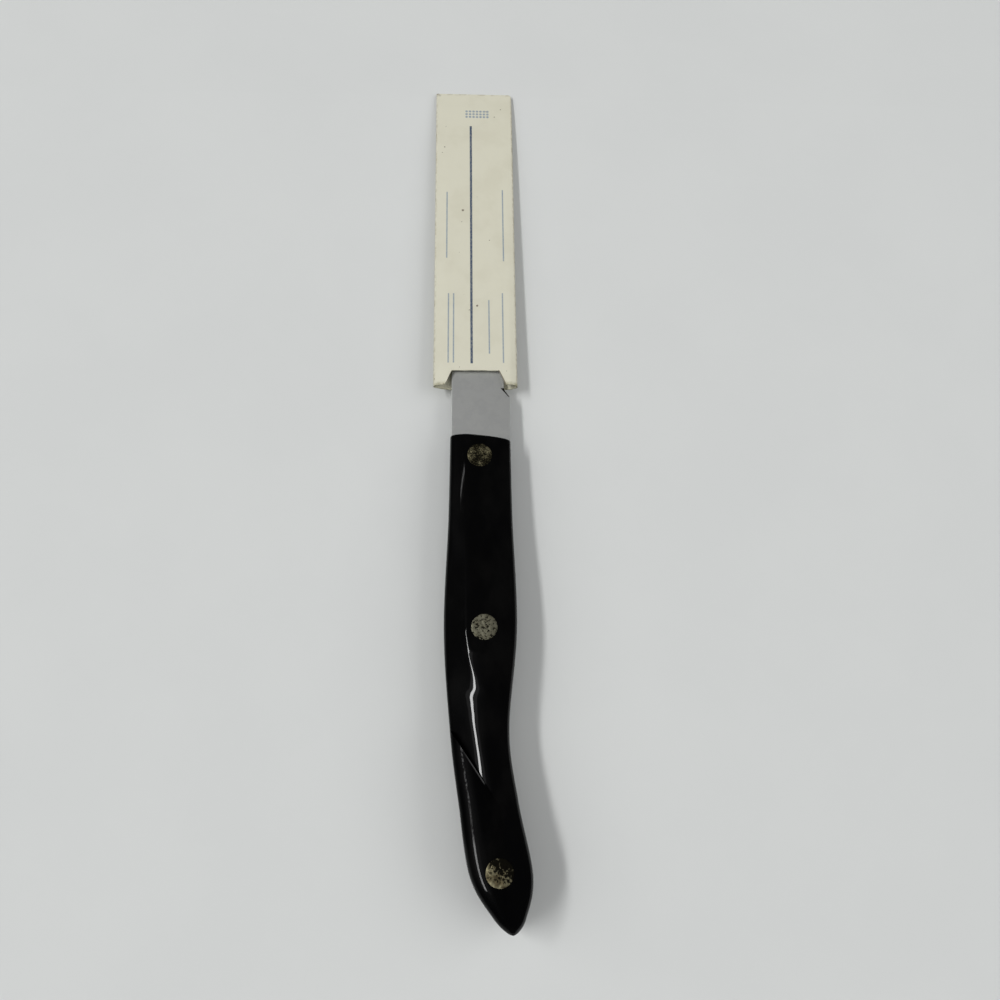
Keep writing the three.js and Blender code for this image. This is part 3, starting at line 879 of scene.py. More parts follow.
@dataclass
class HandleForm:
    """Outer form of both scales: outline, height, section and the hollow for thumb and finger."""

    length: float = 127.0
    stations: tuple[float, ...] = (0, 24, 54, 80, 97, 114, 123.5, 127)
    spine_sides: tuple[float, ...] = (-8.5, -8.9, -9.95, -8.25, -6.1, -3.4, 2.25, 5.95)
    edge_sides: tuple[float, ...] = (8.15, 8.3, 8.95, 6.55, 8.45, 11.64, 9.75, 7.35)
    heights: tuple[float, ...] = (4.9, 5.6, 6.9, 6.4, 6.7, 6.9, 5.9, 4.1)
    base: float = 0.82  # underside of a scale, just off the tang
    front_slant: float = 1.3
    slant_reach: float = 24.0
    front_round: float = 0.6
    nose_round: float = 0.65
    section_power: float = 9.0
    section_crown: float = 0.24  # fall of the crown from its middle to its sides
    rim_points: tuple[Pair, ...] = (
        (0, -4.4), (51, -4.4), (57.4, -4.25), (64, -2.95), (69.5, -0.4), (72, 0.55),
        (75, 0.05), (78.5, -0.25), (84.5, 0.0), (95, 1.6), (127, 7.1),
    )
    rim_limit: float = 0.9  # the rim keeps within this share of the half width
    rim_fillet: float = 0.08
    hollow_start: float = 24.0
    hollow_stop: float = 95.0
    hollow_depth: float = 3.45  # fall of the hollow's floor from its rim to the spine side
    hollow_deepening: float = 24.0  # stretch in which the hollow comes to its full depth
    hollow_lead: float = 15.0  # the rear wall runs this far forward on its way to the spine side
    hollow_skew: float = 32.0  # stretch on each side of the wall in which the rows lean so
    hollow_riser: float = 0.25  # run of the rear wall
    columns_per_side: int = 36
    rim_crowding: float = 1.5  # columns crowd towards the rim by this power
    front_steps: int = 8
    row_step: float = 0.5
    wall_step: float = 0.05  # rows on the hollow's rear wall
    wall_margins: Pair = (0.4, 0.3)  # these rows start and stop this far from the wall
    nose_rows: int = 70
    nose_crowding: float = 1.6
    spine: Curve = field(init=False)
    edge: Curve = field(init=False)
    height: Curve = field(init=False)
    rim: Curve = field(init=False)

    def __post_init__(self) -> None:
        """Draws the curves through the stations."""
        self.spine = curve_through(list(zip(self.stations, self.spine_sides)))
        self.edge = curve_through(list(zip(self.stations, self.edge_sides)))
        self.height = curve_through(list(zip(self.stations, self.heights)))
        self.rim = curve_through(self.rim_points)

    def centre(self, station: float) -> float:
        """Middle of the outline at a station."""
        return (self.spine(station) + self.edge(station)) / 2

    def rows(self) -> np.ndarray:
        """Spaces the surface's rows, closely at the front, the hollow's rear wall and the nose.

        Returns:
            Stations of the rows.
        """
        ahead = self.hollow_stop - self.wall_margins[0]
        behind = self.hollow_stop + self.hollow_riser + self.wall_margins[1]
        quarter = np.linspace(0, math.pi / 2, self.front_steps + 1)[:-1]
        return np.concatenate([
            self.front_round * (1 - np.cos(quarter)),
            np.arange(self.front_round, ahead, self.row_step),
            np.arange(ahead, behind, self.wall_step),
            crowded(behind, self.length, self.nose_rows, self.nose_crowding),
            [self.length],
        ])

    def angles(self, foot_spine: float, rim: float, foot_edge: float) -> np.ndarray:
        """Spaces the points round a section, closely at the hollow's rim.

        Args:
            foot_spine: Angle of the foot on the spine side.
            rim: Angle of the hollow's rim.
            foot_edge: Angle of the foot on the edge side.

        Returns:
            Angles of the points.
        """
        share = np.arange(self.columns_per_side) / self.columns_per_side
        to_rim = foot_spine + (rim - foot_spine) * (1 - (1 - share) ** self.rim_crowding)
        share = np.append(share, 1)
        return np.concatenate([to_rim, rim + (foot_edge - rim) * share**self.rim_crowding])

    def row(self, station: float) -> np.ndarray:
        """One row of points over the upper scale, from its spine side to its edge side.

        Args:
            station: Distance back from the handle's front, at the hollow's rim.

        Returns:
            The row's points, as columns by three.
        """
        skew = np.clip((station - self.hollow_stop) / self.hollow_skew, -1, 1)
        spine_at = station - self.hollow_lead / 2 * (1 + math.cos(math.pi * skew))
        slant = self.front_slant * (1 - smoothstep(station, 0, self.slant_reach))
        edge_at = min(self.length, station + slant)
        rest = max(0.0, self.front_round - station)
        inset = self.front_round - math.sqrt(self.front_round**2 - rest**2)
        rest = max(0.0, self.nose_round - (self.length - station))
        pinch = self.nose_round - math.sqrt(self.nose_round**2 - rest**2)
        spine = self.spine(spine_at) + inset + pinch
        edge = self.edge(edge_at) - inset - pinch
        centre = (spine + edge) / 2
        half = (edge - spine) / 2
        rim = float(np.clip((self.rim(station) - centre) / half, -self.rim_limit, self.rim_limit))
        power = self.section_power / 2
        rim_angle = math.acos(math.copysign(abs(rim) ** power, rim))
        low = 1 - self.section_crown
        feet = []
        for at in (spine_at, edge_at):
            top = self.height(at) - inset - pinch
            feet.append(math.asin((self.base / low / top) ** power))
        angle = self.angles(math.pi - feet[0], rim_angle, feet[1])
        across = np.sign(np.cos(angle)) * np.abs(np.cos(angle)) ** (1 / power)
        back = np.where(
            across < rim,
            spine_at + (station - spine_at) * (across + 1) / (rim + 1),
            station + (edge_at - station) * (across - rim) / (1 - rim),
        )
        height = self.height(back) - inset - pinch
        rise = height * np.sin(angle) ** (1 / power) * (1 - self.section_crown * across**2)
        sunk = self.carve(station) * self.floor(half * (rim - across), half * (rim + 1))
        sunk = sunk * (rise - self.base) / (height - self.base)
        return np.stack([centre + half * across, -back, np.maximum(self.base, rise - sunk)], axis=1)

    def carve(self, station: float) -> float:
        """Finds how deep the hollow is at a station.

        Args:
            station: Distance back from the handle's front.

        Returns:
            Share of its full depth.
        """
        deep = smoothstep(station, self.hollow_start, self.hollow_start + self.hollow_deepening)
        wall = smoothstep(station, self.hollow_stop, self.hollow_stop + self.hollow_riser)
        return deep * (1 - wall)

    def floor(self, inside: np.ndarray, width: float) -> np.ndarray:
        """Full depth of the hollow's floor across a row.

        Args:
            inside: Distance from the rim into the hollow, negative outside it.
            width: Distance from the rim to the spine side.

        Returns:
            Depth at each point, with a small fillet at the rim.
        """
        soft = (inside + np.sqrt(inside**2 + self.rim_fillet**2)) / 2
        return self.hollow_depth * soft / width

    def surface(self) -> np.ndarray:
        """Lays the rows over the upper scale and closes them at the front and at the nose.

        Returns:
            Points of the surface, as rows by columns by three.
        """
        rows = np.array([self.row(station) for station in self.rows()])
        front = rows[:1].copy()
        nose = rows[-1:].copy()
        front[..., 2] = self.base
        nose[..., 2] = self.base
        return np.concatenate([front, rows, nose])


class RivetPlace(Enum):
    """Where the three rivets go through the handle: station and offset from its centre line."""

    FRONT = (6.6, -0.25)
    MIDDLE = (54.7, 0.9)
    REAR = (113.4, -0.45)

    @property
    def label(self) -> str:
        """Lower-case name, as in the part's nodes."""
        return self.name.lower()

    def spot(self, form: HandleForm) -> Pair:
        """The rivet's axis in the knife's plane."""
        station, offset = self.value
        return float(form.centre(station)) + offset, -station


@dataclass
class RivetSizes:
    """Sizes that the rivets share with their holes."""

    head_radius: float = 3.35
    head_thickness: float = 1.7
    tube_radius: float = 2.2
    pin_radius: float = 1.4
    bore_floor: float = 1.0
    pin_gap: float = 0.5
    head_gap: float = 0.05
    shank_gap: float = 0.1

    def seat(self, form: HandleForm, place: RivetPlace) -> float:
        """Height of a head's underside above the middle of the steel."""
        return float(form.height(place.value[0])) - self.head_thickness


@dataclass
class HandleScale(KnifePiece):
    """One moulded scale, with three stepped rivet holes."""

    slot: ClassVar[Slot] = Slot.RESIN
    form: HandleForm
    rivets: RivetSizes
    side: Side
    reach: float = 20.0  # length of the drills, more than the handle's height

    @property
    def name(self) -> str:
        """The part's node that this scale stands for."""
        return f"scale_{self.side.name.lower()}"

    def blank(self) -> bpy.types.Object:
        """Models the upper scale before it is drilled.

        Returns:
            The new piece.
        """
        piece = Bench.grid(f"{self.name}_resin", self.form.surface())
        Bench.close(piece, fill=True)
        return piece

    def build(self) -> bpy.types.Object:
        """Drills the blank, and turns it over for the lower scale.

        Returns:
            The new piece.
        """
        piece = self.blank()
        for place in RivetPlace:
            x, y = place.spot(self.form)
            seat = self.rivets.seat(self.form, place) - self.rivets.head_gap
            middle = seat + self.reach / 2
            Bench.drill(piece, (x, y, middle), self.rivets.head_radius + self.rivets.head_gap, self.reach)
            Bench.drill(piece, (x, y, 0), self.rivets.tube_radius + self.rivets.shank_gap, self.reach)
        if self.side is Side.LOWER:
            Bench.turn_over(piece)
        return piece


@dataclass
class CutlersRivet(KnifePiece):
    """One half of a two-piece rivet, its head ground flush with the scale and then pitted by wear."""

    slot: ClassVar[Slot] = Slot.NICKEL
    form: HandleForm
    sizes: RivetSizes
    place: RivetPlace
    half: Half
    skin: BVHTree  # the undrilled upper scale
    dent: float  # depth of the wear in the head
    rings: int = 12
    facets: int = 72
    lip: float = 0.12  # rounded edge of the head
    lip_fall: float = 0.5  # fall of the lip, as a share of its width
    coarse_pits: float = 1.5  # pits per millimetre
    fine_pits: float = 3.4
    fine_share: float = 0.5  # depth of the fine pits beside the coarse ones
    reach: float = 20.0  # above the whole handle

    @property
    def name(self) -> str:
        """The part's node that this half stands for."""
        return f"rivet_{self.place.label}_{self.half.value}"

    def turned(self) -> bpy.types.Object:
        """Models the head and the shank as turned on a lathe.

        Returns:
            The new piece, on the z axis at its height in the handle.
        """
        sizes = self.sizes
        seat = sizes.seat(self.form, self.place)
        top = seat + sizes.head_thickness
        bpy.ops.object.select_all(action="DESELECT")
        bpy.ops.mesh.primitive_circle_add(
            vertices=self.facets, radius=sizes.head_radius, fill_type="NGON", location=(0, 0, 0)
        )
        piece = Bench.named(f"{self.name}_metal")
        with Bench.editing(piece, Pick.FACES):
            bpy.ops.mesh.select_all(action="SELECT")
            bpy.ops.mesh.inset(thickness=self.lip)
            for _ in range(self.rings):
                bpy.ops.mesh.inset(thickness=(sizes.head_radius - self.lip) / (self.rings + 1))
            bpy.ops.mesh.poke()
        with Bench.editing(piece, Pick.EDGES):
            bpy.ops.mesh.select_all(action="DESELECT")
            bpy.ops.mesh.select_non_manifold(
                extend=False, use_wire=False, use_multi_face=False,
                use_non_contiguous=False, use_verts=False,
            )
            self.pull(-sizes.head_thickness)
            bpy.ops.mesh.edge_face_add()
        with Bench.editing(piece, Pick.FACES):
            if self.half is Half.PIN:
                bpy.ops.mesh.inset(thickness=sizes.head_radius - sizes.pin_radius)
                self.pull(sizes.bore_floor + sizes.pin_gap - seat - seat)
            else:
                bpy.ops.mesh.inset(thickness=sizes.head_radius - sizes.tube_radius)
                end = sizes.shank_gap - seat
                self.pull(end - seat)
                bpy.ops.mesh.inset(thickness=sizes.tube_radius - sizes.pin_radius - sizes.shank_gap)
                self.pull(seat - sizes.bore_floor - end)
        piece.data.transform(Matrix.Translation((0, 0, top)))
        return piece

    @staticmethod
    def pull(height: float) -> None:
        """Extrudes what is selected along z."""
        bpy.ops.mesh.extrude_region_move(TRANSFORM_OT_translate={"value": (0, 0, height)})

    def wear(self, piece: bpy.types.Object) -> None:
        """Lays the head's top on the scale, rounds its lip and sinks the pits of its wear.

        Args:
            piece: The turned half, which is also moved to its place.
        """
        x, y = self.place.spot(self.form)
        top = self.sizes.seat(self.form, self.place) + self.sizes.head_thickness
        salt = Vector((self.place.value[0], 0, self.sizes.head_radius if self.half is Half.TUBE else 0))
        for vertex in piece.data.vertices:
            spot = vertex.co
            if abs(spot.z - top) < TINY:
                start = Vector((spot.x + x, spot.y + y, self.reach))
                level = self.skin.ray_cast(start, Vector((0, 0, -1)))[0].z
                inward = min(1.0, (self.sizes.head_radius - spot.xy.length) / self.lip)
                coarse = max(0.0, noise.noise(spot * self.coarse_pits + salt))
                fine = max(0.0, noise.noise(spot * self.fine_pits + salt))
                pits = coarse + self.fine_share * fine
                spot.z = level - self.dent * pits * inward - self.lip_fall * self.lip * (1 - inward)
            vertex.co = Vector((spot.x + x, spot.y + y, spot.z))

    def build(self) -> bpy.types.Object:
        """Turns and wears this half, and turns the tube half over.

        Returns:
            The new piece.
        """
        piece = self.turned()
        self.wear(piece)
        Bench.close(piece, fill=False)
        if self.half is Half.TUBE:
            Bench.turn_over(piece)
        return piece


@dataclass
class Blade(KnifePiece):
    """Serrated blade and full tang, one steel plate ground to its edge from the lower face alone."""

    slot: ClassVar[Slot] = Slot.STEEL
    form: HandleForm
    rivets: RivetSizes
    name: str = "blade"
    length: float = 114.5
    width: float = 16.4
    thickness: float = 1.6
    point_thickness: float = 0.6
    taper: float = 30.0  # the plate thins over this much before the point
    spine_drop: float = 40.0  # the spine comes down to the point over this much
    edge_rise: float = 26.0
    point_offset: float = 3.0
    point_width: float = 0.6
    grind: float = 6.0  # width of the grind behind the tooth line
    edge_thickness: float = 0.22
    heel: float = 13.1
    plunge: float = 1.2  # the grind sets in over this much at the heel
    tooth_pitch: float = 8.0
    tooth_depth: float = 1.6
    tooth_ramp: float = 2.1
    plain_point: float = 12.0
    facet_slope: float = 0.45  # rise of the grind behind each scallop
    corner: float = 0.12  # rounding of the spine's corners
    tooth_power: int = 6  # squareness of the scallops
    corner_points: int = 4
    flat_columns: int = 6
    bevel_columns: int = 16
    tang_rows: int = 90
    tang_crowding: float = 1.7
    heel_step: float = 1.0
    tooth_step: float = 0.2
    point_rows: int = 40
    point_crowding: float = 1.4

    @property
    def scallops(self) -> int:
        """How many scallops fit between the heel and the plain point."""
        return int((self.length - self.plain_point - self.heel) // self.tooth_pitch)

    def rows(self) -> np.ndarray:
        """Spaces the plate's rings, from the nose of the tang to the point.

        Returns:
            Places along y.
        """
        toothed = self.heel + self.scallops * self.tooth_pitch
        return np.concatenate([
            -crowded(self.form.front_slant, self.form.length, self.tang_rows, self.tang_crowding)[::-1],
            np.arange(0, self.heel - self.plunge, self.heel_step),
            np.arange(self.heel - self.plunge, toothed, self.tooth_step),
            crowded(toothed, self.length, self.point_rows, self.point_crowding),
            [self.length],
        ])

    def outline(self, y: float) -> Pair:
        """Finds the plate's two sides.

        Args:
            y: Place along the plate.

        Returns:
            The spine and the tooth line.
        """
        if y < 0:
            return float(self.form.spine(-y)), float(self.form.edge(-y))
        drop = np.clip((y - (self.length - self.spine_drop)) / self.spine_drop, 0, 1) ** 2
        lift = np.clip((y - (self.length - self.edge_rise)) / self.edge_rise, 0, 1) ** 2
        spine = -self.width / 2 + (self.point_offset - self.point_width / 2 + self.width / 2) * drop
        teeth = self.width / 2 + (self.point_offset + self.point_width / 2 - self.width / 2) * lift
        return float(spine), float(teeth)

    def scallop(self, y: float) -> float:
        """Finds the depth of the serrations.

        Args:
            y: Place along the edge.

        Returns:
            Depth behind the tooth line.
        """
        into = y - self.heel
        if into <= 0 or into >= self.scallops * self.tooth_pitch:
            return 0.0
        from_tooth = min(into % self.tooth_pitch, self.tooth_pitch - into % self.tooth_pitch)
        flank = from_tooth / self.tooth_ramp
        if flank <= 0:
            return 0.0
        return self.tooth_depth * (flank**-self.tooth_power + 1) ** (-1 / self.tooth_power)

    def ring(self, y: float) -> np.ndarray:
        """Draws a section of the plate.

        Args:
            y: Place along the plate.

        Returns:
            Points from the middle of the spine over the upper face and back below.
        """
        spine, teeth = self.outline(y)
        taper = np.clip((y - (self.length - self.taper)) / self.taper, 0, 1)
        half = (self.thickness + (self.point_thickness - self.thickness) * taper) / 2
        ground = smoothstep(y, self.heel - self.plunge, self.heel)
        edge = teeth - self.scallop(y)
        grind_start = max(teeth - self.grind, (spine + teeth) / 2)
        corner = min(self.corner, (grind_start - spine) / 2)
        turn = np.linspace(0, math.pi / 2, self.corner_points)
        rounded = self.corner_points + 1
        across = np.concatenate([
            [spine],
            spine + corner * (1 - np.cos(turn)),
            np.linspace(spine + 2 * corner, grind_start, self.flat_columns + 1),
            np.linspace(grind_start, edge, self.bevel_columns + 1)[1:],
        ])
        upper = np.full_like(across, half)
        upper[:rounded] = [0, *(half - corner + corner * np.sin(turn))]
        edge_level = half - min(half, self.edge_thickness)
        slope = (edge_level + half) / max(teeth - grind_start, TINY)
        bevel = slope * np.maximum(0, across - grind_start) - half
        facet = edge_level - self.facet_slope * (edge - across)
        lower = -upper + (np.maximum(bevel, facet) + half) * ground
        lower[:rounded] = -upper[:rounded]
        ring = np.stack([across, np.full_like(across, y), upper], axis=1)
        below = np.stack([across, np.full_like(across, y), lower], axis=1)
        return np.concatenate([ring, below[::-1]])

    def build(self) -> bpy.types.Object:
        """Models the plate and drills its rivet holes.

        Returns:
            The new piece.
        """
        piece = Bench.grid("blade_steel_plate", np.array([self.ring(y) for y in self.rows()]))
        Bench.close(piece, fill=True)
        depth = 4 * self.thickness
        for place in RivetPlace:
            spot = (*place.spot(self.form), 0)
            Bench.drill(piece, spot, self.rivets.tube_radius + self.rivets.shank_gap, depth)
        return piece


@dataclass
class CardSleeve(KnifePiece):
    """Sleeve folded from one card blank: back panel, front panel with a thumb notch, outer glue flap."""

    body: ClassVar[Body] = Body.SLEEVE
    slot: ClassVar[Slot] = Slot.CARD
    name: str = "sleeve"
    card: float = 0.33
    left: float = -13.39
    right: float = 10.55
    mouth: float = 16.2
    end: float = 120.7
    front_heights: tuple[Pair, ...] = (
        (16.2, 2.3), (26.0, 2.05), (45.0, 1.7), (84.5, 1.5), (100.0, 1.18),
        (110.0, 0.88), (114.5, 0.74), (117.5, 0.5), (120.7, 0.36),
    )
    back_heights: tuple[Pair, ...] = (
        (16.2, 1.55), (84.5, 1.53), (108.0, 1.14), (114.5, 1.0), (116.5, 0.5), (120.7, 0.36),
    )
    fold_half: float = 0.5
    fold_level: float = 1.2  # height of the front panel at its side folds
    fold_thickness: float = 1.1
    left_slope: float = 4.65  # width of the slope from the fold up to the panel
    right_slope: float = 2.45
    slope_lead: float = 1.0  # the slopes start this far outside the folds
    notch_depth: float = 4.45
    notch_half: float = 6.65
    notch_flare: float = 2.0
    notch_offset: float = -1.5
    left_corner: float = 0.5
    right_corner: float = 1.2
    flap_edge: float = -2.0
    flap_start: float = 17.0
    flap_stop: float = 104.0
    flap_slant: float = 3.0
    panel_edge: float = 9.5  # free edge of the back panel, under the flap
    tuck: float = 0.34  # the back panel lies this far inside the flap
    tuck_across: Pair = (-11.0, -4.0)  # stretch in which it passes inside
    tuck_along: Pair = (104.0, 112.0)  # stretch in which it comes out to the glued end
    notch_round: float = 0.3  # share of the notch's flanks that is rounded
    ripple: float = 0.03  # waviness of the card's cut edges
    front_waves: Pair = (1.7, 0.63)  # radians per millimetre
    wave_start: float = 2.0
    back_wave: float = 1.1
    row_count: int = 150
    front_columns: int = 90
    back_columns: int = 40
    flap_columns: int = 30
    fold_steps: int = 8

    def outside(self, x: np.ndarray, y: np.ndarray, side: Side) -> np.ndarray:
        """Finds the height of the sleeve's outer face over its middle plane.

        Args:
            x: Places across the sleeve.
            y: Places along it.
            side: Front or back.

        Returns:
            Height at each place, positive on both sides.
        """
        middle = curve_through(self.front_heights)(y)
        low = np.minimum(self.fold_level, middle)
        if side is Side.LOWER:
            middle = curve_through(self.back_heights)(y)
            low = np.minimum(self.fold_thickness - low, middle)
        rise = smoothstep(x, self.left - self.slope_lead, self.left + self.left_slope)
        fall = 1 - smoothstep(x, self.right - self.right_slope, self.right + self.slope_lead)
        return low + (middle - low) * rise * fall

    def notch(self, x: np.ndarray) -> np.ndarray:
        """Finds the depth of the thumb notch.

        Args:
            x: Places across the front panel.

        Returns:
            Depth at each place.
        """
        beside = np.abs(x - self.notch_offset)
        share = np.clip((self.notch_half + self.notch_flare - beside) / self.notch_flare, 0, 1)
        flank = (1 - self.notch_round) * share + self.notch_round * smoothstep(share, 0, 1)
        return self.notch_depth * flank

    def tip(self, x: np.ndarray) -> np.ndarray:
        """Rounds the far end at its two corners.

        Args:
            x: Places across the sleeve.

        Returns:
            How far each place lies back.
        """
        worn = np.zeros_like(x)
        for distance, radius in ((x - self.left, self.left_corner), (self.right - x, self.right_corner)):
            rest = np.clip(radius - distance, 0, radius)
            worn += radius - np.sqrt(radius**2 - rest**2)
        return worn

    def columns(self) -> list[tuple[np.ndarray, Side, np.ndarray, np.ndarray]]:
        """Spaces the columns of the back panel, the front panel and the flap.

        Returns:
            For each of them x, its side, y of the near end and y of the far end.
        """
        kinks = [self.notch_offset + sign * (self.notch_half + flare)
                 for sign in (-1, 1) for flare in (0, self.notch_flare)]
        fine = np.linspace(self.left + self.fold_half, self.right - self.fold_half, self.front_columns)
        front = np.sort(np.concatenate([fine, kinks]))
        back = np.linspace(self.panel_edge, self.left + self.fold_half, self.back_columns)
        flap = np.linspace(self.right - self.fold_half, self.flap_edge, self.flap_columns)
        slant = np.clip((self.right - flap) / self.flap_slant, 0, 1)
        near = self.mouth + (self.flap_start - self.mouth) * slant
        far = self.end - self.right_corner + (self.flap_stop - self.end + self.right_corner) * slant
        first, second = self.front_waves
        wave = self.ripple * (np.sin(front * first) + np.sin(front * second + self.wave_start))
        back_near = self.mouth + self.ripple * np.sin(back * self.back_wave)
        front_near = self.mouth + self.notch(front) + wave
        return [
            (back, Side.LOWER, back_near, self.end - self.tip(back)),
            (front, Side.UPPER, front_near, self.end - self.tip(front)),
            (flap, Side.LOWER, near, far),
        ]

    def fold(self, before: np.ndarray, after: np.ndarray, x: float) -> np.ndarray:
        """Rounds of a side fold between two edges of panels.

        Args:
            before: Points along the edge where the fold starts.
            after: Points along the edge where it ends.
            x: How far out the fold reaches.

        Returns:
            Points of the fold, as rows by columns by three.
        """
        angle = np.linspace(0, math.pi, self.fold_steps + 1)[1:-1]
        middle = (before + after)[:, None] / 2
        spread = (before - after)[:, None] / 2
        points = middle + spread * np.cos(angle)[None, :, None]
        points[..., 0] += (x - middle[..., 0]) * np.sin(angle)
        return points

    def surface(self) -> np.ndarray:
        """Lays the blank out, folded, from the back panel's free edge round to the flap's.

        Returns:
            Points of its outer face, as rows by columns by three.
        """
        share = np.linspace(0, 1, self.row_count)[:, None]
        panels = []
        for index, (x, side, near, far) in enumerate(self.columns()):
            y = near + (far - near) * share
            across = np.broadcast_to(x, y.shape)
            height = self.outside(across, y, side)
            if index == 0:
                inside = smoothstep(across, *self.tuck_across) * (1 - smoothstep(y, *self.tuck_along))
                height = height - self.tuck * inside
            panels.append(np.stack([across, y, side.value * height], axis=2))
        back, front, flap = panels
        left = self.fold(back[:, -1], front[:, 0], self.left)
        right = self.fold(front[:, -1], flap[:, 0], self.right)
        return np.concatenate([back, left, front, right, flap], axis=1)

    def build(self) -> bpy.types.Object:
        """Models the folded blank and gives it the card's thickness.

        Returns:
            The new piece.
        """
        piece = Bench.grid("sleeve_folded_card", self.surface())
        wall = piece.modifiers.new("card", "SOLIDIFY")
        wall.thickness = self.card
        wall.offset = -1
        wall.material_offset = 1
        wall.material_offset_rim = 2
        Bench.take(piece)
        bpy.ops.object.modifier_apply(modifier=wall.name)
        return piece


@dataclass
class Table:
    """Pale table that falls away beyond the knife, as gently as the knife is tilted."""

    half_size: float = 3.0
    edge_y: float = 0.124

    def build(self, settled: KnifeFrame) -> bpy.types.Object:
        """Adds the table's top.

        Args:
            settled: Frame of the knife, which gives the fall.

        Returns:
            The table.
        """
        bpy.ops.object.select_all(action="DESELECT")
        bpy.ops.mesh.primitive_plane_add(size=2 * self.half_size)
        piece = Bench.named("table")
        with Bench.editing(piece, Pick.FACES):
            bpy.ops.mesh.select_all(action="SELECT")
            bpy.ops.mesh.bisect(plane_co=(0, self.edge_y, 0), plane_no=(0, 1, 0))
        along = settled.matrix().to_3x3() @ Vector((0, 1, 0))
        for vertex in piece.data.vertices:
            vertex.co.z = max(0.0, vertex.co.y - self.edge_y) * along.z / along.y
        return piece


@dataclass(frozen=True)
class Lamp:
    """An area lamp that faces the knife, given by the direction that it lies in and its size there."""

    name: str
    towards: Point
    size: Pair  # level and upright, as tangents of the angles that it fills
    radiance: float
    roll: float = 0.0  # turn about its own axis in degrees
    mirrored: bool = True  # whether polished surfaces show it
    distance: float = 8.0

    def build(self) -> None:
        """Adds the lamp, turned to the knife."""
        towards = Vector(self.towards).normalized()
        bpy.ops.object.select_all(action="DESELECT")
        bpy.ops.object.light_add(type="AREA", location=towards * self.distance)
        lamp = bpy.context.active_object
        lamp.name = self.name
        facing = towards.to_track_quat("Z", "Y").to_matrix()
        rolled = facing @ Matrix.Rotation(math.radians(self.roll), 3, "Z")
        lamp.rotation_euler = rolled.to_euler()
        lamp.visible_glossy = self.mirrored
        lamp.data.shape = "RECTANGLE"
        lamp.data.size = self.size[0] * self.distance
        lamp.data.size_y = self.size[1] * self.distance
        lamp.data.energy = self.radiance * math.pi * lamp.data.size * lamp.data.size_y


@dataclass
class Lighting:
    """A long lamp to the left in a soft halo, a small bar ahead of it and a pale tent round the knife."""

    lamps: tuple[Lamp, ...] = (
        Lamp("side_lamp", (-0.72, -0.05, 1.0), (0.62, 0.088), 27.0),
        Lamp("side_halo", (-0.72, -0.05, 1.0), (0.62, 0.36), 0.45),
        Lamp("front_bar", (-0.316, 0.446, 0.838), (0.1, 0.004), 5.0, roll=-27.5),
        Lamp("roof", (0.1, -0.1, 1.0), (1.2, 1.2), 0.72, mirrored=False),
        Lamp("left_wall", (-0.78, -0.05, 0.62), (1.2, 0.7), 1.2, mirrored=False),
        Lamp("right_wall", (0.78, -0.05, 0.62), (1.2, 0.7), 1.9, mirrored=False),
    )
    room: Colour = (0.045, 0.0455, 0.0465, 1)

    def build(self) -> None:
        """Adds the lamps and the room's own light."""
        for lamp in self.lamps:
            lamp.build()
        world = bpy.data.worlds.new("room")
        world.use_nodes = True
        world.node_tree.nodes["Background"].inputs["Color"].default_value = self.room
        bpy.context.scene.world = world


@dataclass
class PhotoCamera:
    """Camera at the photo's viewpoint, placed in the knife's frame."""

    place: Point = (-7.67, -113.01, 255.63)
    turn: Point = (20.427, -2.590, -0.750)
    lens: float = 36.0
    sensor: float = 36.0
    clip_start: float = 0.01

    def build(self, settled: KnifeFrame) -> None:
        """Adds the camera and makes it the scene's.

        Args:
            settled: Frame that the camera is placed in.
        """
        bpy.ops.object.select_all(action="DESELECT")
        bpy.ops.object.camera_add()
        camera = bpy.context.active_object
        camera.name = "photo_camera"
        camera.data.lens = self.lens
        camera.data.sensor_width = self.sensor
        camera.data.clip_start = self.clip_start
        local = Euler([math.radians(angle) for angle in self.turn]).to_matrix()
        matrix = settled.matrix()
        turn = matrix.to_quaternion().to_matrix() @ local
        camera.matrix_world = Matrix.Translation(matrix @ Vector(self.place)) @ turn.to_4x4()
        bpy.context.scene.camera = camera


# Depth of the wear in each rivet's heads
RIVET_DENTS: dict[RivetPlace, float] = {
    RivetPlace.FRONT: 0.22, RivetPlace.MIDDLE: 0.10, RivetPlace.REAR: 0.2,
}
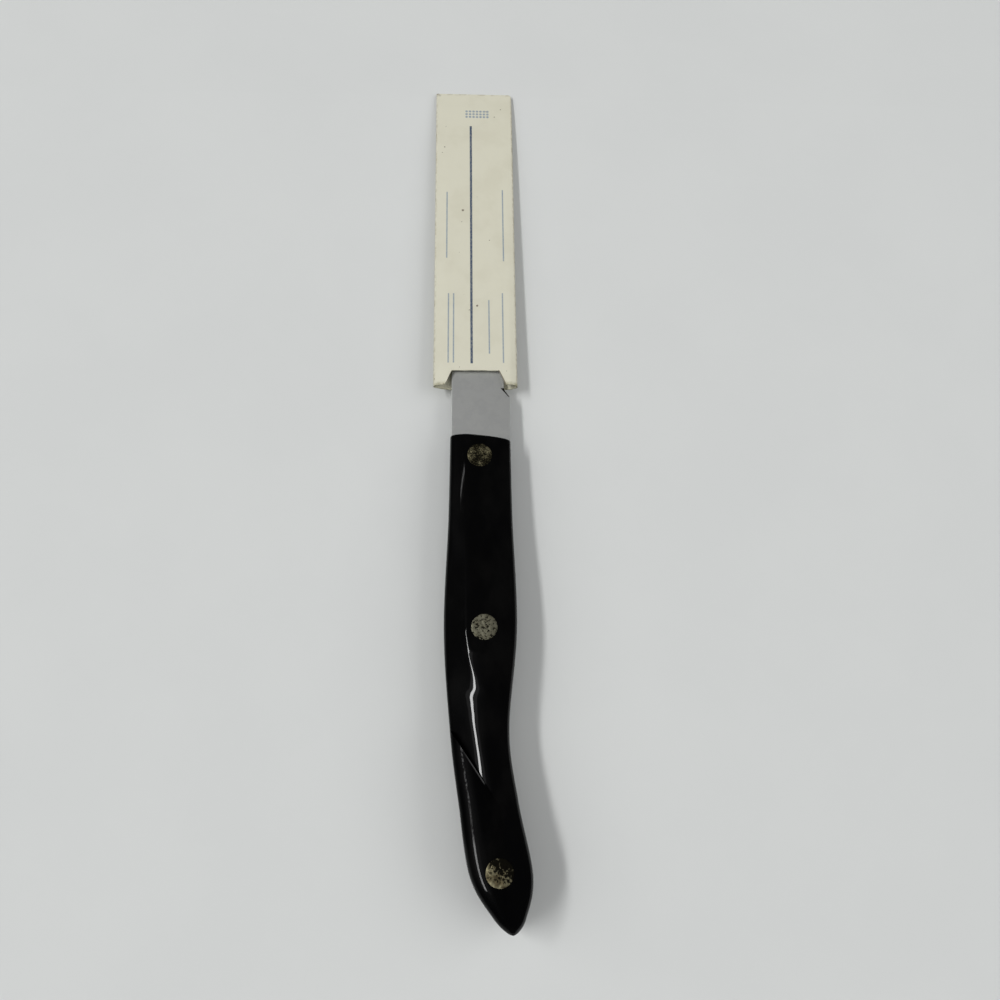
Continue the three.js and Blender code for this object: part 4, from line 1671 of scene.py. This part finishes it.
# The front rivet is speckled dark, the middle one bright, the rear one brassy
RIVET_FINISHES: dict[RivetPlace, dict[str, object]] = {
    RivetPlace.FRONT: {
        "tarnish": 0.5, "pit_scale": 3.4, "seed": 3.0,
        "bright": (0.26, 0.235, 0.14, 1), "brown": (0.085, 0.075, 0.038, 1),
    },
    RivetPlace.MIDDLE: {
        "tarnish": 0.3, "pit_scale": 1.5, "seed": 11.0,
        "bright": (0.29, 0.28, 0.205, 1), "brown": (0.19, 0.18, 0.125, 1),
    },
    RivetPlace.REAR: {
        "tarnish": 0.42, "pit_scale": 1.1, "seed": 23.0, "lean": (0.04, 0.04),
        "bright": (0.29, 0.265, 0.165, 1), "brown": (0.12, 0.10, 0.055, 1),
    },
}


def build_handle(settled: KnifeFrame, form: HandleForm, sizes: RivetSizes) -> None:
    """Builds and dresses the two scales and the three rivets.

    Args:
        settled: Frame that the pieces are moved into.
        form: Outer form of the handle.
        sizes: Sizes of the rivets.
    """
    pattern = HandleScale(form, sizes, Side.UPPER).blank()
    mesh = pattern.data
    corners = [vertex.co.copy() for vertex in mesh.vertices]
    skin = BVHTree.FromPolygons(corners, [face.vertices[:] for face in mesh.polygons])
    bpy.data.meshes.remove(mesh)
    resin = PolishedResin().make()
    for side in Side:
        HandleScale(form, sizes, side).add(settled, resin)
    for place in RivetPlace:
        metal = WornNickelSilver(place.label, place.spot(form), **RIVET_FINISHES[place]).make()
        for half in Half:
            CutlersRivet(form, sizes, place, half, skin, RIVET_DENTS[place]).add(settled, metal)


def build_sleeve(settled: KnifeFrame) -> None:
    """Builds and dresses the card sleeve.

    Args:
        settled: Frame that the sleeve is moved into.
    """
    sleeve = CardSleeve()
    cards = [
        PrintedCard(sleeve.left, sleeve.right, sleeve.mouth, sleeve.end).make(),
        RawCard("raw_card_inside", (0.60, 0.58, 0.48, 1), (0.46, 0.43, 0.34, 1)).make(),
        # the cut edge is darker than the card itself: partly soiling, partly painted shade for the dark
        # line under the notch's lifted edges
        RawCard("raw_card_edge_with_painted_shade", (0.20, 0.18, 0.105, 1), (0.07, 0.058, 0.03, 1)).make(),
    ]
    sleeve.add(settled, *cards)


def main() -> None:
    """Builds the knife, its sleeve and the set."""
    logging.basicConfig(level=logging.INFO, format="%(message)s")
    settled = KnifeFrame()
    form = HandleForm()
    sizes = RivetSizes()
    PhotoCamera().build(settled)
    Lighting().build()
    Table().build(settled).data.materials.append(PaleTable().make())
    Blade(form, sizes).add(settled, SatinSteel().make())
    build_handle(settled, form, sizes)
    build_sleeve(settled)
    bpy.context.scene.view_settings.view_transform = "Standard"


if __name__ == "__main__":
    main()
